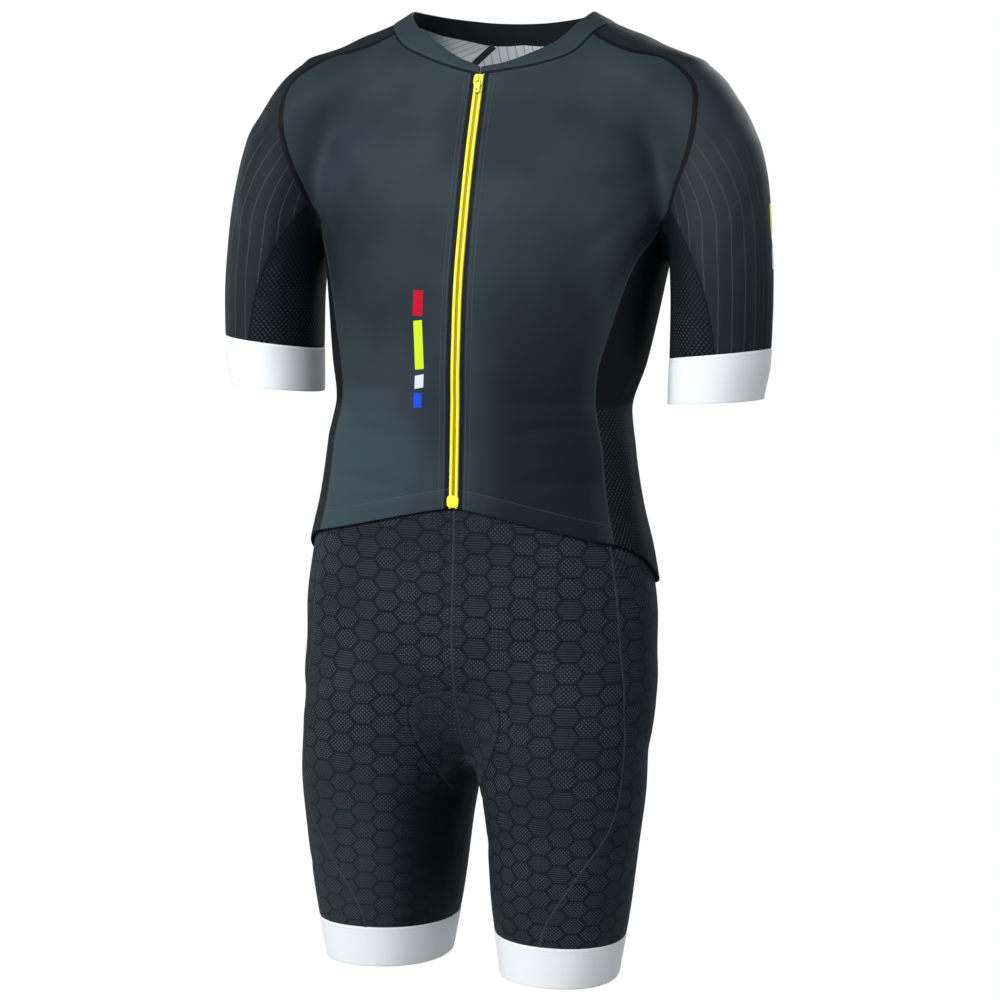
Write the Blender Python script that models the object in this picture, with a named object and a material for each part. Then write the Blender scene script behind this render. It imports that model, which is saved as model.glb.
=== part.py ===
"""Triathlon suit in its worn shape, with no wearer: a zipped top whose hem hangs over high-waisted shorts.

Each cut piece is one thin wall of cloth on a general figure. The figure is a blend of named sections: the
trunk, the shoulder yoke, two arms and two legs. Seams are short tables of points drawn on it from the front,
from behind or close by; a piece is a grid between its seams. All tables are in millimetres: across is measured
from the centre plane, behind towards the back, and drop downwards from the middle of the shoulder line, where
the origin lies. The front faces -Y, and the wearer's left is +X.
"""
import bmesh
import bpy
import numpy as np

MM = 0.001
SIDES = {"right": -1, "left": 1}

# Cloth
CLOTH = 1.2
BAND_CLOTH = 1.6
SEAM_GAP = 0.3
HEM_LIFT = 3.4
HEM_FLARE = 1.2
WAIST_OF_SHORTS = 362
LIFT_FROM, LIFT_TO = 318, 366
FLARE_FROM, FLARE_TO = 400, 500

# Levels
NECK_DROP = 27
WAIST_DROP = 329
SLEEVE_DROP_OUT, SLEEVE_DROP_IN = 273, 285
SLEEVE_CUFF_OUT, SLEEVE_CUFF_IN = 47, 42
LEG_DROP = 828
LEG_CUFF = 39

# Figure. Trunk: drop, half width, front, back, axis behind, squareness
TRUNK = (
    (-45, 80, 46, 42, 40, 2.0),
    (-32, 91, 52, 48, 39, 2.0),
    (-20, 103, 59, 55, 38, 2.0),
    (0, 122, 69, 71, 38, 2.0),
    (25, 145, 79, 88, 39, 2.0),
    (60, 165, 91, 102, 38, 2.1),
    (100, 173, 102, 111, 35, 2.2),
    (150, 171, 111, 116, 30, 2.3),
    (215, 160.5, 118, 117, 23, 2.3),
    (290, 148.5, 105, 113, 6, 2.3),
    (335, 139, 84, 109, -12, 2.3),
    (370, 142.5, 75, 109, -18, 2.3),
    (420, 150, 78, 117, -15, 2.3),
    (470, 160.5, 81, 130, -12, 2.3),
    (530, 167.5, 85, 144, -9, 2.3),
    (575, 166, 80, 150, -8, 2.3),
    (610, 160.5, 66, 148, -6, 2.2),
    (640, 149, 48, 134, -4, 2.1),
    (662, 131, 28, 108, -2, 2.0),
)
# Shoulder yoke: across, centre drop, axis behind, half height, front, back
YOKE = (
    (0, 20, 42, 42, 54, 52),
    (90, 24, 43, 48, 62, 60),
    (130, 34, 42, 50.5, 64, 67),
    (160, 47, 40, 49.5, 62, 66),
    (185, 60, 37, 48.5, 59, 62),
    (205, 73, 34, 45, 54, 56),
    (225, 94, 31, 41, 45, 48),
)
# Arm: drop, centre across, axis behind, half width, half depth
ARM = (
    (14, 184, 36, 10, 24),
    (30, 188, 34, 24, 39),
    (50, 193, 31, 33, 48),
    (90, 206.5, 27, 43.5, 55),
    (130, 213, 23, 46, 58),
    (180, 218, 19, 46, 58),
    (240, 221, 17, 45.5, 56),
    (285, 220.5, 17.5, 45, 54),
    (320, 217.5, 18, 42.5, 52),
    (345, 216.5, 18, 41.5, 51),
)
# Leg: drop, centre across, axis behind, half width, front, back, lean of the section inwards per unit behind
LEG = (
    (560, 84, -14, 66, 74, 124, 0.0),
    (600, 86, -14, 74, 77, 124, 0.03),
    (640, 86, -13, 79, 79, 120, 0.06),
    (680, 87.2, -11, 78.5, 79, 112, 0.10),
    (740, 88.5, -8, 72, 77, 96, 0.12),
    (800, 88, -6, 66, 73, 85, 0.10),
    (850, 88, -4, 58, 69, 78, 0.08),
    (895, 88, -3, 50.5, 64, 72, 0.05),
)
ARM_POWER = 2.1
LEG_POWER = 2.15
STANCE = 10  # how far the left leg is ahead, and the right behind, at STANCE_DROP
STANCE_FROM, STANCE_DROP = 600, 900
BLEND_YOKE, BLEND_LEGS, BLEND_HIP, BLEND_SHOULDER, BLEND_PIT = 24, 14, 30, 28, 18
PIT_FROM, PIT_TO = 150, 270

# Seams drawn from the front: corner, across, drop
FRONT_SEAM = (
    ("neck", 97, -14),
    ("", 134, 3),
    ("", 163, 9),
    ("tip", 184, 22),
    ("", 197, 38),
    ("", 200, 62),
    ("", 198, 84),
    ("", 190, 112),
    ("gusset", 177, 146),
    ("side", 164, 166),
    ("", 151, 192),
    ("", 140, 225),
    ("", 131, 260),
    ("", 123, 295),
    ("waist", 121, WAIST_DROP),
    ("", 126, 365),
    ("", 130, 400),
    ("hem", 139, 454),
)
GUSSET_FRONT = (
    ("gusset", 177, 146),
    ("", 196, 177),
    ("", 215, 220),
    ("cuff", 226, 279),
)
FRONT_HEM = (
    ("zip", 4.6, 424),
    ("", 37, 430),
    ("", 72, 438),
    ("", 110, 447),
    ("hem", 139, 454),
)
CENTRE_FRONT = (
    ("waist", 0, WAIST_OF_SHORTS),
    ("", 0, 440),
    ("seat", 0, 540),
    ("", 0, 590),
    ("", 0, 630),
    ("", 0, 658),
    ("crotch", 0, 672),
)
SHORTS_SIDE = (
    ("waist", 124, WAIST_OF_SHORTS),
    ("", 132, 420),
    ("", 141, 472),
    ("seat", 148, 530),
    ("", 154, 596),
    ("crotch", 156, 660),
    ("", 149, 712),
    ("", 127, 752),
    ("", 106, 785),
    ("", 93, 808),
    ("cuff", 88, LEG_DROP),
)
# Seams drawn from behind: corner, across, drop
BACK_SEAM = (
    ("neck", 30, -10),
    ("", 62, 14),
    ("", 100, 48),
    ("", 140, 92),
    ("gusset", 170, 140),
    ("side", 163, 166),
    ("", 151, 195),
    ("", 141, 240),
    ("", 131, 285),
    ("waist", 126, WAIST_DROP),
    ("", 131, 372),
    ("", 139, 420),
    ("hem", 146, 503),
)
GUSSET_BACK = (
    ("gusset", 170, 140),
    ("", 194, 177),
    ("", 213, 220),
    ("cuff", 226, 279),
)
BACK_HEM = (
    ("hem", 146, 503),
    ("", 90, 508),
    ("centre", 0, 511),
)
CENTRE_BACK = (
    ("waist", 0, WAIST_OF_SHORTS),
    ("", 0, 440),
    ("seat", 0, 525),
    ("", 0, 585),
    ("", 0, 630),
    ("", 0, 658),
)
# Seams drawn close to the cloth: corner, across, behind, drop
NECK_SEAM = (
    ("centre", 0.4, -40, NECK_DROP),
    ("zip", 4.6, -40, 26),
    ("", 20, -38, 22.5),
    ("", 53, -30, 12),
    ("", 82, -16, 0),
    ("neck", 97, -1, -14),
    ("", 103, 24, -20),
    ("", 98, 50, -20),
    ("", 79, 76, -15),
    ("", 54, 90, -12),
    ("raglan", 30, 95, -10),
    ("back", 0, 98, -9),
)
NECK_EDGE = (
    ("centre", 0.4, -38, 20),
    ("zip", 4.6, -38, 18),
    ("", 20, -35, 12),
    ("", 45, -27, -2),
    ("", 67, -13, -16),
    ("neck", 80, 3, -28),
    ("", 87, 28, -36),
    ("", 83, 50, -36),
    ("", 67, 71, -34),
    ("", 45, 83, -32),
    ("raglan", 25, 88, -30.5),
    ("back", 0, 90, -30),
)
UNDERARM = (
    ("", 165, 2, 184),
    ("", 167, 20, 204),
    ("", 165, 42, 184),
)
CROWN = (
    ("", 108, 45, -22),
    ("", 150, 42, -6),
    ("", 190, 36, 10),
    ("", 224, 32, 40),
    ("", 248, 25, 84),
    ("", 262, 20, 130),
    ("", 268, 18, 200),
    ("", 267, 18, SLEEVE_DROP_OUT),
)
TAIL_HEM = (
    ("", 157, -42, 461),
    ("", 166, -16, 474),
    ("", 168, 14, 488),
    ("", 165, 50, 497),
)
INSEAM = (
    ("", 9, 12, 694),
    ("", 13, 8, 724),
    ("", 17, 4, 772),
)
# Pad: behind and drop along the centre line, half width there
PAD = (
    (-82, 596, 34),
    (-79, 606, 45),
    (-70, 620, 47),
    (-58, 634, 43),
    (-42, 650, 35),
    (-20, 666, 29),
    (8, 673, 28),
    (38, 671, 32),
    (68, 664, 42),
    (96, 650, 54),
    (122, 628, 64),
    (138, 596, 62),
    (144, 568, 44),
)
PAD_CLEARANCE, PAD_THICKNESS = 3.0, 2.6

# Grid counts
ROWS_LOWER, ROWS_UPPER, ROWS_PIT, ROWS_ARMHOLE, ROWS_SHOULDER = 4, 4, 2, 5, 4
ROWS_GUSSET, ROWS_BAND = 5, 2
ROWS_HIP, ROWS_SEAT, ROWS_THIGH = 4, 9, 5
COLUMNS_NECK, COLUMNS_SIDE, COLUMNS_SLEEVE, COLUMNS_BACK = 3, 6, 10, 10
COLUMNS_THIGH_FRONT, COLUMNS_THIGH_BACK = 6, 11
COLUMNS_PAD = 8
COLUMNS_GUSSET = COLUMNS_SIDE + 2 * ROWS_PIT
RELAX_ROUNDS = 30
RIM_ORDER = (0.11, 0.29, 0.95)

# Zip
ZIP_HALF, ZIP_MIDDLE = 4.3, 0.15
ZIP_LIFT, ZIP_THICKNESS = -0.4, 2.2
ZIP_END_WIDTH, ZIP_END_HEIGHT, ZIP_END_THICKNESS = 11, 11, 1.5
SLIDER_DROP = 33
SLIDER_WIDTH, SLIDER_LENGTH, SLIDER_THICKNESS = 9, 11, 1.5
BRIDGE_WIDTH, BRIDGE_LENGTH, BRIDGE_HEIGHT = 1.6, 5.0, 2.9
BRIDGE_GAP_LENGTH, BRIDGE_GAP_HEIGHT = 3.0, 2.0
TAB_WIDTH, TAB_LENGTH, TAB_THICKNESS, TAB_BAR = 5.6, 13.0, 1.2, 1.2
TAB_WINDOW_WIDTH, TAB_WINDOW_END = 2.8, 3.6
TAB_HOLE_RADIUS = 1.0
TRIM_GAP = 0.3

# Materials: base colour, roughness, metallic
FINISHES = {
    "panel_knit": ((0.036, 0.050, 0.058), 0.5, 0.0),
    "side_knit": ((0.004, 0.006, 0.009), 0.7, 0.0),
    "mesh_knit": ((0.010, 0.014, 0.018), 0.75, 0.0),
    "ribbed_knit": ((0.020, 0.027, 0.032), 0.6, 0.0),
    "hexagon_knit": ((0.019, 0.026, 0.034), 0.6, 0.0),
    "white_elastic": ((0.74, 0.80, 0.85), 0.65, 0.0),
    "pad_foam": ((0.03, 0.035, 0.04), 0.8, 0.0),
    "yellow_zip": ((0.90, 0.74, 0.05), 0.4, 0.0),
    "yellow_metal": ((0.62, 0.58, 0.06), 0.35, 0.2),
}


# ---------------------------------------------------------------- the figure

def ease(table, column, at):
    """A monotone curve through one column of a table, read where its first column equals at."""
    knots = np.array([row[0] for row in table], float)
    values = np.array([row[column] for row in table], float)
    steps = np.diff(knots)
    rates = np.diff(values) / steps
    slopes = np.empty_like(values)
    slopes[0], slopes[-1] = rates[0], rates[-1]
    before, after = rates[:-1], rates[1:]
    turning = before * after <= 0
    product = np.where(turning, 1.0, before * after)
    heavy = 2 * steps[1:] + steps[:-1]
    light = steps[1:] + 2 * steps[:-1]
    weighed = (heavy + light) * product / (heavy * after + light * before + turning)
    slopes[1:-1] = np.where(turning, 0.0, weighed)
    at = np.clip(at, knots[0], knots[-1])
    i = np.clip(np.searchsorted(knots, at, side="right") - 1, 0, len(steps) - 1)
    s = (at - knots[i]) / steps[i]
    return (
        (2 * s**3 - 3 * s**2 + 1) * values[i]
        + (s**3 - 2 * s**2 + s) * steps[i] * slopes[i]
        + (3 * s**2 - 2 * s**3) * values[i + 1]
        + (s**3 - s**2) * steps[i] * slopes[i + 1]
    )


def curves_of(table):
    """A table's first column each millimetre, and its other columns there."""
    at = np.arange(table[0][0], table[-1][0] + 1.0)
    return at, [ease(table, column, at) for column in range(1, len(table[0]))]


TRUNK_CURVES, YOKE_CURVES, ARM_CURVES, LEG_CURVES = (curves_of(table) for table in (TRUNK, YOKE, ARM, LEG))


def read(curves, at):
    """Every column where the first one equals at."""
    return [np.interp(at, curves[0], column) for column in curves[1]]


def smooth_step(low, high, at):
    s = np.clip((at - low) / (high - low), 0, 1)
    return s * s * (3 - 2 * s)


def oval(u, v, half_width, front, back, power):
    """How far a point lies outside an oval whose front and back depths differ, measured towards its axis."""
    depth = np.where(v < 0, front, back)
    radius = np.hypot(u, v) + 1e-6
    share = ((np.abs(u) / half_width) ** power + (np.abs(v) / depth) ** power) ** (1 / power) + 1e-9
    return radius * (1 - 1 / share)


def trunk(p):
    drop = -p[..., 2]
    half_width, front, back, axis, power = read(TRUNK_CURVES, drop)
    outside = oval(p[..., 0], p[..., 1] - axis, half_width, front, back, power)
    return np.maximum(outside, np.maximum(drop - TRUNK[-1][0], TRUNK[0][0] - drop))


def yoke(p):
    across = np.abs(p[..., 0])
    centre, axis, half_height, front, back = read(YOKE_CURVES, across)
    outside = oval(p[..., 2] + centre, p[..., 1] - axis, half_height, front, back, 2.0)
    return np.maximum(outside, across - YOKE[-1][0])


def arm(p):
    """Both arms, which are alike."""
    drop = -p[..., 2]
    centre, axis, half_width, depth = read(ARM_CURVES, drop)
    outside = oval(np.abs(p[..., 0]) - centre, p[..., 1] - axis, half_width, depth, depth, ARM_POWER)
    return np.maximum(outside, np.maximum(ARM[0][0] - drop, drop - ARM[-1][0]))


def leg_axis(side, drop):
    """Where a leg's axis lies: across, behind."""
    ahead = STANCE * np.clip((drop - STANCE_FROM) / (STANCE_DROP - STANCE_FROM), 0, 1.2)
    centre, axis = read(LEG_CURVES, drop)[:2]
    return side * centre, axis - side * ahead


def leg(p, side):
    drop = -p[..., 2]
    centre, axis = leg_axis(side, drop)
    half_width, front, back, lean = read(LEG_CURVES, drop)[2:]
    v = p[..., 1] - axis
    outside = oval(p[..., 0] - centre + side * lean * v, v, half_width, front, back, LEG_POWER)
    return np.maximum(outside, np.maximum(LEG[0][0] - drop, drop - LEG[-1][0]))


def blend(a, b, radius):
    """The union of two shapes with a smooth valley between them."""
    share = np.clip(0.5 + 0.5 * (b - a) / radius, 0, 1)
    return b + (a - b) * share - radius * share * (1 - share)


def figure(p):
    """Outside is positive, in millimetres near the surface."""
    shape = blend(trunk(p), yoke(p), BLEND_YOKE)
    legs = blend(leg(p, 1), leg(p, -1), BLEND_LEGS)
    arms = BLEND_SHOULDER + (BLEND_PIT - BLEND_SHOULDER) * smooth_step(PIT_FROM, PIT_TO, -p[..., 2])
    return blend(blend(shape, legs, BLEND_HIP), arm(p), arms)


def gradient(p):
    reach = 0.5
    parts = [(figure(p + step) - figure(p - step)) / (2 * reach) for step in np.eye(3) * reach]
    return np.stack(parts, -1)


def outward(p):
    g = gradient(p)
    return g / np.linalg.norm(g, axis=-1, keepdims=True)


def settle(p, held=(), rounds=7):
    """Moves points on to the figure along its slope; the axes in held keep their values."""
    p = np.array(p, float)
    for _ in range(rounds):
        g = gradient(p)
        g[..., list(held)] = 0
        move = figure(p)[..., None] * g / np.maximum((g * g).sum(-1, keepdims=True), 0.05)
        size = np.linalg.norm(move, axis=-1, keepdims=True)
        p = p - move * np.minimum(1, 12 / np.maximum(size, 1e-9))
    return p


def cast(start, heading, longest, steps=80):
    """The first place along each heading where the figure's surface is crossed."""
    start, heading = np.broadcast_arrays(np.asarray(start, float), np.asarray(heading, float))
    way = np.linspace(0, longest, steps + 1)
    beyond = figure(start[..., None, :] + heading[..., None, :] * way[:, None]) > 0
    first = np.maximum((beyond != beyond[..., :1]).argmax(-1), 1)
    low, high = way[first - 1], way[first]
    for _ in range(16):
        middle = (low + high) / 2
        same = (figure(start + heading * middle[..., None]) > 0) == beyond[..., 0]
        low, high = np.where(same, middle, low), np.where(same, high, middle)
    return start + heading * ((low + high) / 2)[..., None]


# ---------------------------------------------------------------- seams

VIEWS = {"front": (-300, 1), "back": (350, -1)}


def anchors(view, table, side):
    """The rows of a seam table as points on the figure."""
    if view == "near":
        return settle([(side * across, behind, -drop) for _, across, behind, drop in table])
    start, heading = VIEWS[view]
    return cast([(side * across, start, -drop) for _, across, drop in table], (0, heading, 0), 330)


def curve_through(points, per_span=24):
    """A smooth curve through points, with knots by distance so that uneven rows don't overshoot."""
    p = np.asarray(points, float)
    if len(p) == 2:
        return p[0] + (p[1] - p[0]) * np.linspace(0, 1, per_span + 1)[:, None]
    knots = np.concatenate([[0], np.cumsum(np.sqrt(np.linalg.norm(np.diff(p, axis=0), axis=1)))])
    slope = np.empty_like(p)
    step = np.diff(knots)[:, None]
    rate = np.diff(p, axis=0) / step
    slope[1:-1] = (rate[:-1] * step[1:] + rate[1:] * step[:-1]) / (step[1:] + step[:-1])
    slope[0], slope[-1] = 2 * rate[0] - slope[1], 2 * rate[-1] - slope[-2]
    s = np.linspace(0, 1, per_span + 1)[:-1, None]
    spans = [
        (2 * s**3 - 3 * s**2 + 1) * p[i]
        + (s**3 - 2 * s**2 + s) * step[i] * slope[i]
        + (3 * s**2 - 2 * s**3) * p[i + 1]
        + (s**3 - s**2) * step[i] * slope[i + 1]
        for i in range(len(p) - 1)
    ]
    return np.concatenate(spans + [p[-1:]])


def evenly(line, count):
    """A line cut into count equal lengths."""
    length = np.concatenate([[0], np.cumsum(np.linalg.norm(np.diff(line, axis=0), axis=1))])
    at = np.linspace(0, length[-1], count + 1)
    return np.stack([np.interp(at, length, line[:, axis]) for axis in range(3)], -1)


def stretches(table, points, counts, held=()):
    """The seam's stretches between its named corners, each cut into its count of equal lengths."""
    per_span = 24
    line = settle(curve_through(points, per_span), held)
    corners = [i for i, row in enumerate(table) if row[0]]
    made = {}
    for (first, last), count in zip(zip(corners, corners[1:]), counts):
        part = evenly(line[first * per_span:last * per_span + 1], count)
        made[table[first][0], table[last][0]] = settle(part, held)
    return made


def join(*lines):
    """Lines end to end, without their doubled points."""
    return np.concatenate([lines[0]] + [line[1:] for line in lines[1:]])


# ---------------------------------------------------------------- grids

def between(first, last, guides, columns):
    """Rows that run from a first line to a last one, by way of guide lines."""
    lines = [first] + [evenly(guide, len(first) - 1) for guide in guides] + [last]
    at = np.linspace(0, len(lines) - 1, columns + 1)
    lower = np.clip(at.astype(int), 0, len(lines) - 2)
    share = (at - lower)[:, None, None]
    lines = np.array(lines)
    return np.swapaxes(lines[lower] * (1 - share) + lines[lower + 1] * share, 0, 1)


def patch(first, last, top, bottom, guides=()):
    """A grid on the figure with these four edges: rows from top to bottom, columns from first to last."""
    grid = between(first, last, guides, len(top) - 1)
    grid[0], grid[-1], grid[:, 0], grid[:, -1] = top, bottom, first, last
    for _ in range(RELAX_ROUNDS):
        inner = (grid[:-2, 1:-1] + grid[2:, 1:-1] + grid[1:-1, :-2] + grid[1:-1, 2:]) / 4
        grid[1:-1, 1:-1] = settle(inner, rounds=2)
    return grid


def drawn_in(grid, ring):
    """The grid with each edge half a seam gap inside its seam. A ring's rows have no ends."""
    grid = grid.copy()
    source = grid.copy()
    turns = [lambda g: g, lambda g: g[::-1]]
    if not ring:
        turns += [lambda g: np.swapaxes(g, 0, 1), lambda g: np.swapaxes(g, 0, 1)[::-1]]
    for turn in turns:
        edge, inner = turn(source)[0], turn(source)[1]
        along = np.roll(edge, -1, 0) - np.roll(edge, 1, 0) if ring else np.gradient(edge, axis=0)
        along /= np.linalg.norm(along, axis=-1, keepdims=True)
        inwards = inner - edge
        inwards -= along * (inwards * along).sum(-1, keepdims=True)
        inwards /= np.linalg.norm(inwards, axis=-1, keepdims=True)
        turn(grid)[0] += inwards * SEAM_GAP / 2
    return grid


def top_lift(grid):
    """How far the top stands off the figure: it lies over the shorts, and flares at the hem."""
    drop = -grid[..., 2]
    lifted = HEM_LIFT * smooth_step(LIFT_FROM, LIFT_TO, drop)
    return lifted + HEM_FLARE * smooth_step(FLARE_FROM, FLARE_TO, drop)


# ---------------------------------------------------------------- Blender objects

def clear_scene():
    for thing in list(bpy.data.objects):
        bpy.data.objects.remove(thing, do_unlink=True)


def make_material(name):
    colour, roughness, metallic = FINISHES[name]
    material = bpy.data.materials.new(name)
    material.use_nodes = True
    shader = material.node_tree.nodes["Principled BSDF"]
    shader.inputs["Base Color"].default_value = (*colour, 1)
    shader.inputs["Roughness"].default_value = roughness
    shader.inputs["Metallic"].default_value = metallic
    material.diffuse_color = (*colour, 1)
    return material


def place(name, mesh, finish, place_at=(0, 0, 0), turn=(0, 0, 0)):
    thing = bpy.data.objects.new(name, mesh)
    thing.location = place_at
    thing.rotation_euler = turn
    material = bpy.data.materials.get(finish) or make_material(finish)
    mesh.materials.append(material)
    bpy.data.collections["triathlon_suit"].objects.link(thing)
    return thing


def wall(name, grid, finish, lift=0.0, thickness=CLOTH, ring=False):
    """A wall of cloth: its inner face at lift above the figure, its outer face a thickness further out."""
    grid = drawn_in(grid, ring)
    normal = outward(grid)
    lift = np.asarray(lift)[..., None] if np.ndim(lift) else lift
    inner, outer = grid + normal * lift, grid + normal * (lift + thickness)
    rows, columns = grid.shape[:2]
    mesh = bpy.data.meshes.new(name)
    bm = bmesh.new()
    faces = [[[bm.verts.new(point * MM) for point in row] for row in side] for side in (inner, outer)]
    last = columns if ring else columns - 1
    for i in range(rows - 1):
        for j in range(last):
            k = (j + 1) % columns
            for side, order in zip(faces, (1, -1)):
                corners = [side[i][j], side[i + 1][j], side[i + 1][k], side[i][k]]
                bm.faces.new(corners[::order])
    rims = [(i, j, i, (j + 1) % columns) for i in (0, rows - 1) for j in range(last)]
    if not ring:
        rims += [(i, j, i + 1, j) for j in (0, columns - 1) for i in range(rows - 1)]
    for i, j, m, n in rims:
        # Neighbours split a shared rim along the same diagonal, so that their edges stay parallel.
        a, b, c, d = faces[0][i][j], faces[0][m][n], faces[1][m][n], faces[1][i][j]
        if a.co.dot(RIM_ORDER) < b.co.dot(RIM_ORDER):
            a, b, c, d = b, a, d, c
        bm.faces.new([a, b, c])
        bm.faces.new([a, c, d])
    bmesh.ops.triangulate(bm, faces=bm.faces[:])
    bmesh.ops.recalc_face_normals(bm, faces=bm.faces[:])
    if bm.calc_volume(signed=True) < 0:
        bmesh.ops.reverse_faces(bm, faces=bm.faces[:])
    bm.to_mesh(mesh)
    bm.free()
    mesh.shade_smooth()
    mesh.set_sharp_from_angle(angle=np.radians(50))
    return place(name, mesh, finish)


def outline_mesh(name, outlines, thickness):
    """A flat outline with its holes, extruded to a thickness, in the plane of local X and Y."""
    flat = bpy.data.curves.new(name, "CURVE")
    flat.dimensions = "2D"
    flat.fill_mode = "BOTH"
    flat.extrude = thickness * MM / 2
    for points in outlines:
        spline = flat.splines.new("POLY")
        spline.points.add(len(points) - 1)
        for point, (x, y) in zip(spline.points, points):
            point.co = (x * MM, y * MM, 0, 1)
        spline.use_cyclic_u = True
    thing = bpy.data.objects.new(name, flat)
    bpy.context.scene.collection.objects.link(thing)
    seen = thing.evaluated_get(bpy.context.evaluated_depsgraph_get())
    mesh = bpy.data.meshes.new_from_object(seen)
    bpy.data.objects.remove(thing)
    bpy.data.curves.remove(flat)
    bm = bmesh.new()
    bm.from_mesh(mesh)
    bmesh.ops.remove_doubles(bm, verts=bm.verts[:], dist=0.00001)
    bm.to_mesh(mesh)
    bm.free()
    mesh.name = name
    return mesh


def rounded_box(width, low, high, corner, count=4):
    """The outline of a box from low to high with round corners, counter-clockwise."""
    half = width / 2 - corner
    upper, lower = high - corner, low + corner
    centres = ((half, upper, 0), (-half, upper, 90), (-half, lower, 180), (half, lower, 270))
    return [
        (x + corner * np.cos(angle), y + corner * np.sin(angle))
        for x, y, start in centres
        for angle in np.radians(np.linspace(start, start + 90, count))
    ]


def circle(x, y, radius, count=12):
    turns = np.linspace(0, 2 * np.pi, count, endpoint=False)
    return [(x + radius * np.cos(turn), y + radius * np.sin(turn)) for turn in turns]


# ---------------------------------------------------------------- the suit

def arm_loop(side, angles, lower):
    """Points round a sleeve at its cuff: angle 0 is outwards, -90 in front. The loop hangs lower inside."""
    turn = np.radians(np.asarray(angles, float))
    inside = (1 - np.cos(turn)) / 2
    drop = SLEEVE_DROP_OUT + (SLEEVE_DROP_IN - SLEEVE_DROP_OUT) * inside
    drop = drop + lower * (SLEEVE_CUFF_OUT + (SLEEVE_CUFF_IN - SLEEVE_CUFF_OUT) * inside)
    centre, axis = read(ARM_CURVES, drop)[:2]
    start = np.stack([side * centre, axis, -drop], -1)
    heading = np.stack([side * np.cos(turn), np.sin(turn), np.zeros_like(turn)], -1)
    return cast(start, heading, 70)


def leg_loop(side, angles, drop):
    """Points round a leg: angle 0 is outwards, -90 in front."""
    turn = np.radians(np.asarray(angles, float))
    across, behind = leg_axis(side, drop)
    start = np.stack([np.full_like(turn, across), np.full_like(turn, behind), np.full_like(turn, -drop)], -1)
    heading = np.stack([side * np.cos(turn), np.sin(turn), np.zeros_like(turn)], -1)
    return cast(start, heading, 130)


def round_the_side(start, end, columns):
    """A level line on the figure from a front seam round to a back seam."""
    drop = -(start[2] + end[2]) / 2
    axis = read(TRUNK_CURVES, drop)[3]
    first, last = (np.arctan2(p[1] - axis, abs(p[0])) for p in (start, end))
    turn = np.linspace(first, last, columns * 6 + 1)
    side = np.sign(start[0])
    heading = np.stack([side * np.cos(turn), np.sin(turn), np.zeros_like(turn)], -1)
    level = np.linspace(start[2], end[2], len(turn))
    begin = np.stack([np.zeros_like(turn), np.full_like(turn, axis), level], -1)
    line = cast(begin, heading, 260)
    line[0], line[-1] = start, end
    return evenly(line, columns)


CUFF_FRONT_ANGLE = -84
SLEEVE_ARC = np.linspace(CUFF_FRONT_ANGLE, -CUFF_FRONT_ANGLE, COLUMNS_SLEEVE + 1)
GUSSET_ARC = np.linspace(CUFF_FRONT_ANGLE, CUFF_FRONT_ANGLE - 360 + 2 * -CUFF_FRONT_ANGLE, COLUMNS_GUSSET + 1)
THIGH_FRONT_ARC = np.linspace(-180, -90, COLUMNS_THIGH_FRONT + 1)
THIGH_BACK_ARC = np.linspace(-90, 180, COLUMNS_THIGH_BACK + 1)


def seams_of(side):
    """Every seam of one side, cut to the counts that its pieces share."""
    made = {}
    above = (ROWS_SHOULDER, ROWS_ARMHOLE, ROWS_PIT, ROWS_UPPER, ROWS_LOWER)
    made["front"] = stretches(FRONT_SEAM, anchors("front", FRONT_SEAM, side), above)
    back_counts = (ROWS_SHOULDER + ROWS_ARMHOLE, ROWS_PIT, ROWS_UPPER, ROWS_LOWER)
    made["back"] = stretches(BACK_SEAM, anchors("back", BACK_SEAM, side), back_counts)
    front, back = made["front"], made["back"]
    for name, table, view, apex, angle in (
        ("gusset_front", GUSSET_FRONT, "front", front["tip", "gusset"][-1], CUFF_FRONT_ANGLE),
        ("gusset_back", GUSSET_BACK, "back", back["neck", "gusset"][-1], -CUFF_FRONT_ANGLE),
    ):
        points = anchors(view, table, side)
        points[0], points[-1] = apex, arm_loop(side, [angle], 0)[0]
        made[name] = stretches(table, points, (ROWS_GUSSET,))["gusset", "cuff"]
    neck = anchors("near", NECK_SEAM, side)
    corner = [row[0] for row in NECK_SEAM]
    neck[corner.index("neck")] = front["neck", "tip"][0]
    neck[corner.index("raglan")] = back["neck", "gusset"][0]
    made["neck"] = stretches(NECK_SEAM, neck, (1, COLUMNS_NECK, COLUMNS_SLEEVE, COLUMNS_BACK // 2))
    ends = front["gusset", "side"][-1:], back["gusset", "side"][-1:]
    pit = np.concatenate([ends[0], anchors("near", UNDERARM, side), ends[1]])
    made["underarm"] = settle(evenly(settle(curve_through(pit)), COLUMNS_SIDE))
    hem = anchors("front", FRONT_HEM, side)
    hem[-1] = front["waist", "hem"][-1]
    made["front_hem"] = stretches(FRONT_HEM, hem, (COLUMNS_NECK + ROWS_SHOULDER,))["zip", "hem"]
    hem = anchors("back", BACK_HEM, side)
    hem[0] = back["waist", "hem"][-1]
    made["back_hem"] = stretches(BACK_HEM, hem, (COLUMNS_BACK // 2,))["hem", "centre"]
    ends = front["waist", "hem"][-1:], back["waist", "hem"][-1:]
    tail = np.concatenate([ends[0], anchors("near", TAIL_HEM, side), ends[1]])
    made["tail_hem"] = settle(evenly(settle(curve_through(tail)), COLUMNS_SIDE))
    return made


def front_rows(seam):
    """The front seam's stretches from the neck down to the hem."""
    corners = ("neck", "tip", "gusset", "side", "waist", "hem")
    return [seam[stretch] for stretch in zip(corners, corners[1:])]


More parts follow.
